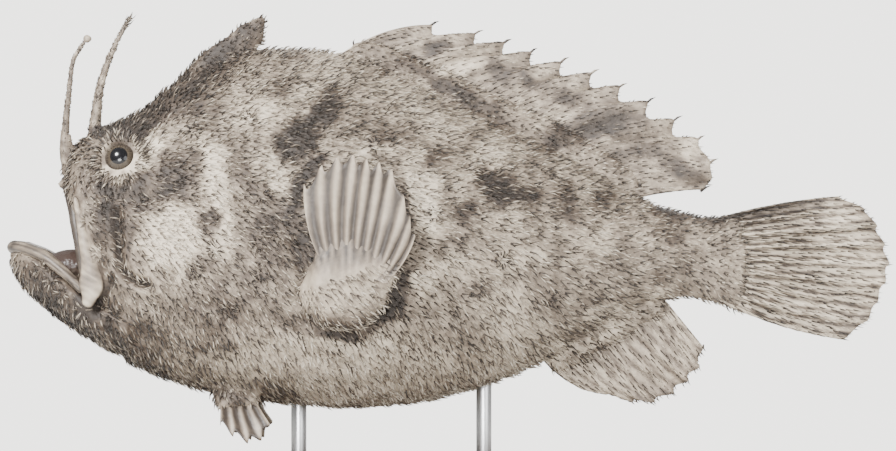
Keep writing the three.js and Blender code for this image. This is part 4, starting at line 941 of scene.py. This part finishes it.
hairy.append(bristles("coat_spines", **pool, radius=0.11, markAndShade=0.66, tint=dice.random(len(pool["roots"]))))

# warts with bristles standing round them like small stars: places seen from the side, and 1 for pale ones
stars = [
    (-43.7, 64.7, 0), (-34.1, 66.4, 0), (-31.2, 53.3, 0), (-32.4, 45.3, 0), (-39.8, 43.9, 0), (-42.8, 40, 0),
    (-31.8, 40, 0), (-50.5, 33.4, 0), (-56.3, 32.9, 0), (-37.5, 33.7, 0), (-12, 62.3, 0), (-1.4, 50.8, 0),
    (9.6, 41.9, 0), (17.3, 35.4, 0), (5.4, 36.3, 0), (-69.6, 40.2, 1), (-68, 38.4, 1), (-66, 36.2, 1),
    (-62.2, 33.2, 1), (-59.7, 43, 1), (-61.4, 49.4, 1),
]
corePoints, coreNormals = coreShape[:2]


def roundAbout(way, turns):  # directions square to a way
    flat = unit(np.cross(way, [0, 0, 1]))
    return flat * np.cos(turns)[:, None] + np.cross(way, flat) * np.sin(turns)[:, None]


starTufts = []
for side in (-1, 1):
    for starX, starZ, pale in stars:
        near = (np.abs(corePoints[:, 0] - starX) < 0.7) & (np.abs(corePoints[:, 2] - starZ) < 0.7)
        near = np.flatnonzero(near & (corePoints[:, 1] * side > 0))
        centre = near[np.argmax(np.abs(corePoints[near, 1]))]
        count = coat["starRays"]
        ways = roundAbout(coreNormals[centre], np.arange(count) * 2.4 + dice.uniform(0, 1, count))
        starTufts.append({
            "roots": corePoints[centre] + ways * dice.uniform(0.2, 0.9, count)[:, None],
            "normals": unit(coreNormals[centre] + ways * dice.uniform(0, 1.2, count)[:, None]), "lies": ways,
            "tint": dice.uniform(0, 0.75, count) if pale else dice.uniform(0.55, 1, count),
            "size": np.ones(count),
        })
    count = coat["lashes"]  # three rings of bristles stand out round each eye
    out = onSide(side, eye["look"])
    ways = roundAbout(out, np.linspace(0, 6 * math.pi, count, endpoint=False) + dice.normal(0, 0.04, count))
    wanted = onSide(side, eye["centre"]) + out * 1.4 + ways * np.repeat([3.05, 3.7, 4.4], count // 3)[:, None]
    nearest = np.array([np.argmin(np.sum((corePoints - spot) ** 2, axis=1)) for spot in wanted])
    starTufts.append({"roots": corePoints[nearest], "normals": coreNormals[nearest], "lies": ways,
                      "tint": dice.uniform(0, 1, count), "size": np.full(count, 1.6)})
pool = pooled(starTufts)
length = coat["starLength"] * pool.pop("size") * dice.uniform(0.8, 1.2, len(pool["roots"]))
hairy.append(bristles("coat_stars", **pool, length=length, radius=coat["starRadius"], markAndShade=0.55,
                      unwrap=aroundBody(pool["roots"]), rise=1.6))

print("stage: stand")
stand = {
    "length": 92, "width": 60, "height": 8, "corner": 9, "bevel": 1.2, "centreX": -14, "rodRadius": 1.3,
    "rodXs": (-25.5, 6), "rodBevel": 0.15, "sunkInBase": 5, "sunkInBelly": 2.5, "smoothTo": math.radians(35),
}
block = added("plinth", bpy.ops.mesh.primitive_cube_add, size=1,
              location=(stand["centreX"] * mm, 0, stand["height"] / 2 * mm))
block.scale = (stand["length"] * mm, stand["width"] * mm, stand["height"] * mm)
placed(block)
bpy.ops.object.mode_set(mode="EDIT")
bpy.ops.mesh.select_mode(type="EDGE")
bpy.ops.mesh.select_all(action="DESELECT")
bpy.ops.object.mode_set(mode="OBJECT")
for edge in block.data.edges:
    ends = [block.data.vertices[k].co for k in edge.vertices]
    edge.select = abs(ends[0].z - ends[1].z) > mm
bpy.ops.object.mode_set(mode="EDIT")
bpy.ops.mesh.bevel(offset=stand["corner"] * mm, segments=12)
bpy.ops.mesh.select_all(action="DESELECT")
bpy.ops.object.mode_set(mode="OBJECT")
for face in block.data.polygons:
    face.select = abs(face.normal.z) > 0.9
bpy.ops.object.mode_set(mode="EDIT")
bpy.ops.mesh.select_mode(type="FACE")
bpy.ops.mesh.region_to_loop()
bpy.ops.mesh.bevel(offset=stand["bevel"] * mm, segments=5)
bpy.ops.object.mode_set(mode="OBJECT")
bpy.ops.object.shade_smooth_by_angle(angle=stand["smoothTo"])
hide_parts("stand_base")
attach(block, "root")
rods = []
for label, rodX in zip(("front", "rear"), stand["rodXs"]):
    bottom = stand["height"] - stand["sunkInBase"]
    top = float(trunk["lower"](rodX)) + stand["sunkInBelly"]
    rod = added("rod_" + label, bpy.ops.mesh.primitive_cylinder_add, vertices=48,
                radius=stand["rodRadius"] * mm, depth=(top - bottom) * mm,
                location=(rodX * mm, 0, (top + bottom) / 2 * mm))
    placed(rod)
    applied(rod, "BEVEL", width=stand["rodBevel"] * mm, segments=2, limit_method="ANGLE")
    bpy.ops.object.shade_smooth_by_angle(angle=stand["smoothTo"])
    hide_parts("stand_rod_" + label)
    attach(rod, "root")
    rods.append(rod)

print("stage: materials")


class Wire:  # a node's output; a sum with it adds a Math node
    def __init__(self, tree, output=None):
        self.tree, self.output = tree, output

    def node(self, kind, settings, sockets, output=0):
        made = self.tree.nodes.new(kind)
        for key, value in settings.items():
            if key == "stops":
                while len(made.color_ramp.elements) < len(value):
                    made.color_ramp.elements.new(0.5)
                for stop, (at, colour) in zip(made.color_ramp.elements, value):
                    stop.position, stop.color = at, (*colour, 1)
            else:
                setattr(made, key, value)
        connect(made, sockets)
        return Wire(self.tree, made.outputs[output])

    def maths(self, operation, first, second):
        return self.node("ShaderNodeMath", {"operation": operation}, {0: first, 1: second})

    def __add__(self, other):
        return self.maths("ADD", self, other)

    def __radd__(self, other):
        return self.maths("ADD", other, self)

    def __sub__(self, other):
        return self.maths("SUBTRACT", self, other)

    def __rsub__(self, other):
        return self.maths("SUBTRACT", other, self)

    def __mul__(self, other):
        return self.maths("MULTIPLY", self, other)

    def __rmul__(self, other):
        return self.maths("MULTIPLY", other, self)


def connect(node, sockets):
    for key, value in sockets.items():
        if isinstance(value, Wire):
            value.tree.links.new(value.output, node.inputs[key])
        else:
            node.inputs[key].default_value = value


def newMaterial(name):
    material = bpy.data.materials.new(name)
    material.use_nodes = True
    return material, Wire(material.node_tree), material.node_tree.nodes["Principled BSDF"]


def placeOn(start):
    return start.node("ShaderNodeTexCoord", {}, {}, "Object")


def stretched(start, place, scale, location=(0, 0, 0)):
    return start.node("ShaderNodeMapping", {}, {"Vector": place, "Location": location, "Scale": scale})


def noise(start, place, scale, detail=3.0, rough=0.55):
    sockets = {"Vector": place, "Scale": scale, "Detail": detail, "Roughness": rough}
    return start.node("ShaderNodeTexNoise", {}, sockets)


def span(start, value, low, high, to=(0.0, 1.0)):
    return start.node("ShaderNodeMapRange", {}, {0: value, 1: low, 2: high, 3: to[0], 4: to[1]})


def blend(start, amount, first, second):
    first, second = [(*c, 1) if isinstance(c, tuple) else c for c in (first, second)]
    return start.node("ShaderNodeMix", {"data_type": "RGBA"}, {0: amount, 6: first, 7: second}, 2)


def ramp(start, value, stops):
    return start.node("ShaderNodeValToRGB", {"stops": stops}, {0: value})


def bump(start, strength, distance, height):
    return start.node("ShaderNodeBump", {}, {"Strength": strength, "Distance": distance, "Height": height})


def keptPattern(start):  # the three values that paint and bristles keep on the points
    kept = start.node("ShaderNodeAttribute", {"attribute_name": "hide"}, {}, "Color")
    return [start.node("ShaderNodeSeparateColor", {}, {0: kept}, k) for k in range(3)]


hide = {
    "tones": ((0.0, (0.6, 0.52, 0.41)), (0.3, (0.4, 0.335, 0.255)), (0.5, (0.215, 0.172, 0.13)),
              (0.72, (0.085, 0.062, 0.045)), (1.0, (0.03, 0.022, 0.017))),
    "bareTones": ((0.0, (0.54, 0.465, 0.365)), (0.3, (0.4, 0.335, 0.255)), (0.6, (0.2, 0.16, 0.122)),
                  (1.0, (0.045, 0.035, 0.028))),
    "mouth": (0.05, 0.032, 0.026), "mottle": 0.3, "grain": 1500.0, "fine": 1100.0, "broad": 320.0,
    "bristleTones": ((0.0, (0.84, 0.76, 0.63)), (0.28, (0.6, 0.52, 0.41)), (0.5, (0.26, 0.21, 0.16)),
                     (0.7, (0.065, 0.05, 0.04)), (1.0, (0.02, 0.016, 0.013))),
    "bristleRoot": (0.03, 0.024, 0.019), "spread": 0.55, "follow": 0.45, "rootShade": 0.4,
}


def hideMaterial():
    material, start, shader = newMaterial("frogfish_hide")
    place = placeOn(start)
    markAndShade, bare, deep = keptPattern(start)
    fine = noise(start, place, hide["fine"])
    broad = noise(start, place, hide["broad"], 2.0)
    grains = start.node("ShaderNodeTexVoronoi", {"feature": "F1"}, {"Vector": place, "Scale": hide["grain"]})
    tone = markAndShade + (fine - 0.5) * hide["mottle"] + (broad - 0.5) * (hide["mottle"] * 0.6)
    tone = tone + (grains - 0.4) * 0.12
    colour = blend(start, bare, ramp(start, tone, hide["tones"]),
                   ramp(start, markAndShade + (broad - 0.5) * 0.3 + (fine - 0.5) * 0.16, hide["bareTones"]))
    relief = (1 - grains) * (0.7 - bare * 0.55) + fine * 0.5
    connect(shader, {"Base Color": blend(start, deep, colour, hide["mouth"]),
                     "Roughness": 0.66 - bare * 0.2 - deep * 0.3 + (fine - 0.5) * 0.2,
                     "Normal": bump(start, 0.55, 0.00022, relief)})
    return material


def bristleMaterial():
    material, start, shader = newMaterial("frogfish_bristle")
    markAndShade, tint, along = keptPattern(start)
    tone = markAndShade * (tint * 0.4 + hide["follow"]) + tint * hide["spread"] + 0.02
    shade = along * (1 - hide["rootShade"]) + hide["rootShade"]
    colour = blend(start, shade, hide["bristleRoot"], ramp(start, tone, hide["bristleTones"]))
    connect(shader, {"Base Color": colour, "Roughness": 0.5})
    return material


iris = {"pupil": 0.168, "edge": 0.31, "inner": (0.085, 0.064, 0.042), "outer": (0.034, 0.026, 0.019),
        "rim": (0.02, 0.016, 0.013), "dark": (0.004, 0.004, 0.005), "spokes": 60.0, "flecks": 2600.0}


def eyeMaterial():
    material, start, shader = newMaterial("frogfish_eye")
    where = start.node("ShaderNodeUVMap", {"uv_map": "UVMap"}, {})
    around, height = [start.node("ShaderNodeSeparateXYZ", {}, {0: where}, k) for k in range(2)]
    polar = 1 - height
    spokes = start.node("ShaderNodeTexNoise", {"noise_dimensions": "1D"},
                        {"W": around, "Scale": iris["spokes"], "Detail": 3.0})
    flecks = noise(start, placeOn(start), iris["flecks"])
    tone = blend(start, span(start, polar, iris["pupil"], iris["edge"]), iris["inner"], iris["outer"])
    tone = blend(start, span(start, spokes * 0.6 + flecks * 0.5, 0.42, 0.75, (0.0, 0.7)), tone, iris["rim"])
    tone = blend(start, span(start, polar, iris["pupil"] + 0.012, iris["pupil"] - 0.004), tone, iris["dark"])
    tone = blend(start, span(start, polar, iris["edge"] - 0.03, iris["edge"]), tone, iris["rim"])
    connect(shader, {"Base Color": tone, "Roughness": 0.2, "Specular IOR Level": 0.25, "Coat Weight": 1.0,
                     "Coat IOR": 1.34, "Coat Roughness": 0.03})
    return material


walnut = {"light": (0.105, 0.053, 0.028), "dark": (0.034, 0.017, 0.01), "grain": (26.0, 260.0, 260.0),
          "heart": (0.0, 0.012, 0.05), "rings": 80.0, "pores": (180.0, 2600.0, 2600.0),
          "pore": (0.02, 0.01, 0.006)}


def woodMaterial():
    material, start, shader = newMaterial("stand_walnut")
    place = placeOn(start)
    figure = noise(start, stretched(start, place, walnut["grain"]), 1.0, 5.0, 0.6)
    trunkPlace = stretched(start, place, (0.2, 1, 1), walnut["heart"])
    rings = start.node("ShaderNodeTexWave", {"wave_type": "RINGS", "rings_direction": "X"},
                       {"Vector": trunkPlace, "Scale": walnut["rings"], "Distortion": 3.5, "Detail": 2.0})
    pores = noise(start, stretched(start, place, walnut["pores"]), 1.0)
    tone = blend(start, rings * 0.4 + figure * 0.6, walnut["light"], walnut["dark"])
    tone = blend(start, span(start, pores, 0.58, 0.72, (0.0, 0.6)), tone, walnut["pore"])
    connect(shader, {"Base Color": tone, "Roughness": 0.5 + (pores - 0.5) * 0.2,
                     "Normal": bump(start, 0.25, 0.0001, 1 - pores)})
    return material


steel = {"dark": (0.5, 0.51, 0.52), "light": (0.68, 0.69, 0.7), "strokes": (900.0, 900.0, 12000.0)}


def steelMaterial():
    material, start, shader = newMaterial("stand_brushed_steel")
    strokes = noise(start, stretched(start, placeOn(start), steel["strokes"]), 1.0, 2.0)
    connect(shader, {"Base Color": blend(start, strokes, steel["dark"], steel["light"]), "Metallic": 1.0,
                     "Roughness": 0.26 + strokes * 0.16, "Normal": bump(start, 0.12, 0.00003, strokes)})
    return material


def dress(material, *pieces):
    for piece in pieces:
        piece.data.materials.clear()
        piece.data.materials.append(material)


dress(hideMaterial(), fish)
dress(bristleMaterial(), *hairy)
dress(eyeMaterial(), *eyes)
dress(woodMaterial(), block)
dress(steelMaterial(), *rods)

print("stage: studio")
studio = {
    "floor": 0.7, "paper": ((0.86, 0.85, 0.82), (0.88, 0.87, 0.84)), "cameraAt": (-0.0001, -1.5, 0.0481),
    "frameWidth": 0.15255, "film": 36, "air": (1.0, 0.985, 0.95), "airLight": 0.5, "airShown": 3.2,
    "aim": (0, 0, 0.045),
    "lights": {  # place, size and power
        "key_light": ((-0.42, -0.55, 0.62), 0.25, 16.5), "fill_light": ((0.6, -0.7, 0.2), 0.6, 4),
        "low_light": ((-0.12, -0.7, 0.04), 0.3, 6.5), "back_light": ((0.25, 0.6, 0.6), 0.4, 6),
    },
}
floor = added("studio_floor", bpy.ops.mesh.primitive_plane_add, size=studio["floor"])
paper, start, shader = newMaterial("studio_paper")
mottle = noise(start, placeOn(start), 40.0)
connect(shader, {"Base Color": blend(start, mottle, *studio["paper"]), "Roughness": 0.9})
dress(paper, floor)

world = bpy.data.worlds.new("studio_air")
world.use_nodes = True
air = Wire(world.node_tree)
shown = air.node("ShaderNodeLightPath", {}, {})  # the air looks brighter than it lights
strength = span(air, shown, 0.0, 1.0, (studio["airLight"], studio["airShown"]))
connect(world.node_tree.nodes["Background"], {"Color": (*studio["air"], 1), "Strength": strength})
bpy.context.scene.world = world

for name, (place, size, power) in studio["lights"].items():
    lamp = added(name, bpy.ops.object.light_add, type="AREA", location=place)
    lamp.data.shape = "DISK"
    lamp.data.size, lamp.data.energy = size, power
    lamp.rotation_euler = (Vector(studio["aim"]) - Vector(place)).to_track_quat("-Z", "Y").to_euler()

camera = added("portrait_camera", bpy.ops.object.camera_add, location=studio["cameraAt"],
               rotation=(math.pi / 2, 0, 0))
camera.data.sensor_width = studio["film"]
camera.data.lens = -studio["film"] * studio["cameraAt"][1] / studio["frameWidth"]
bpy.context.scene.camera = camera

print("stage: done")
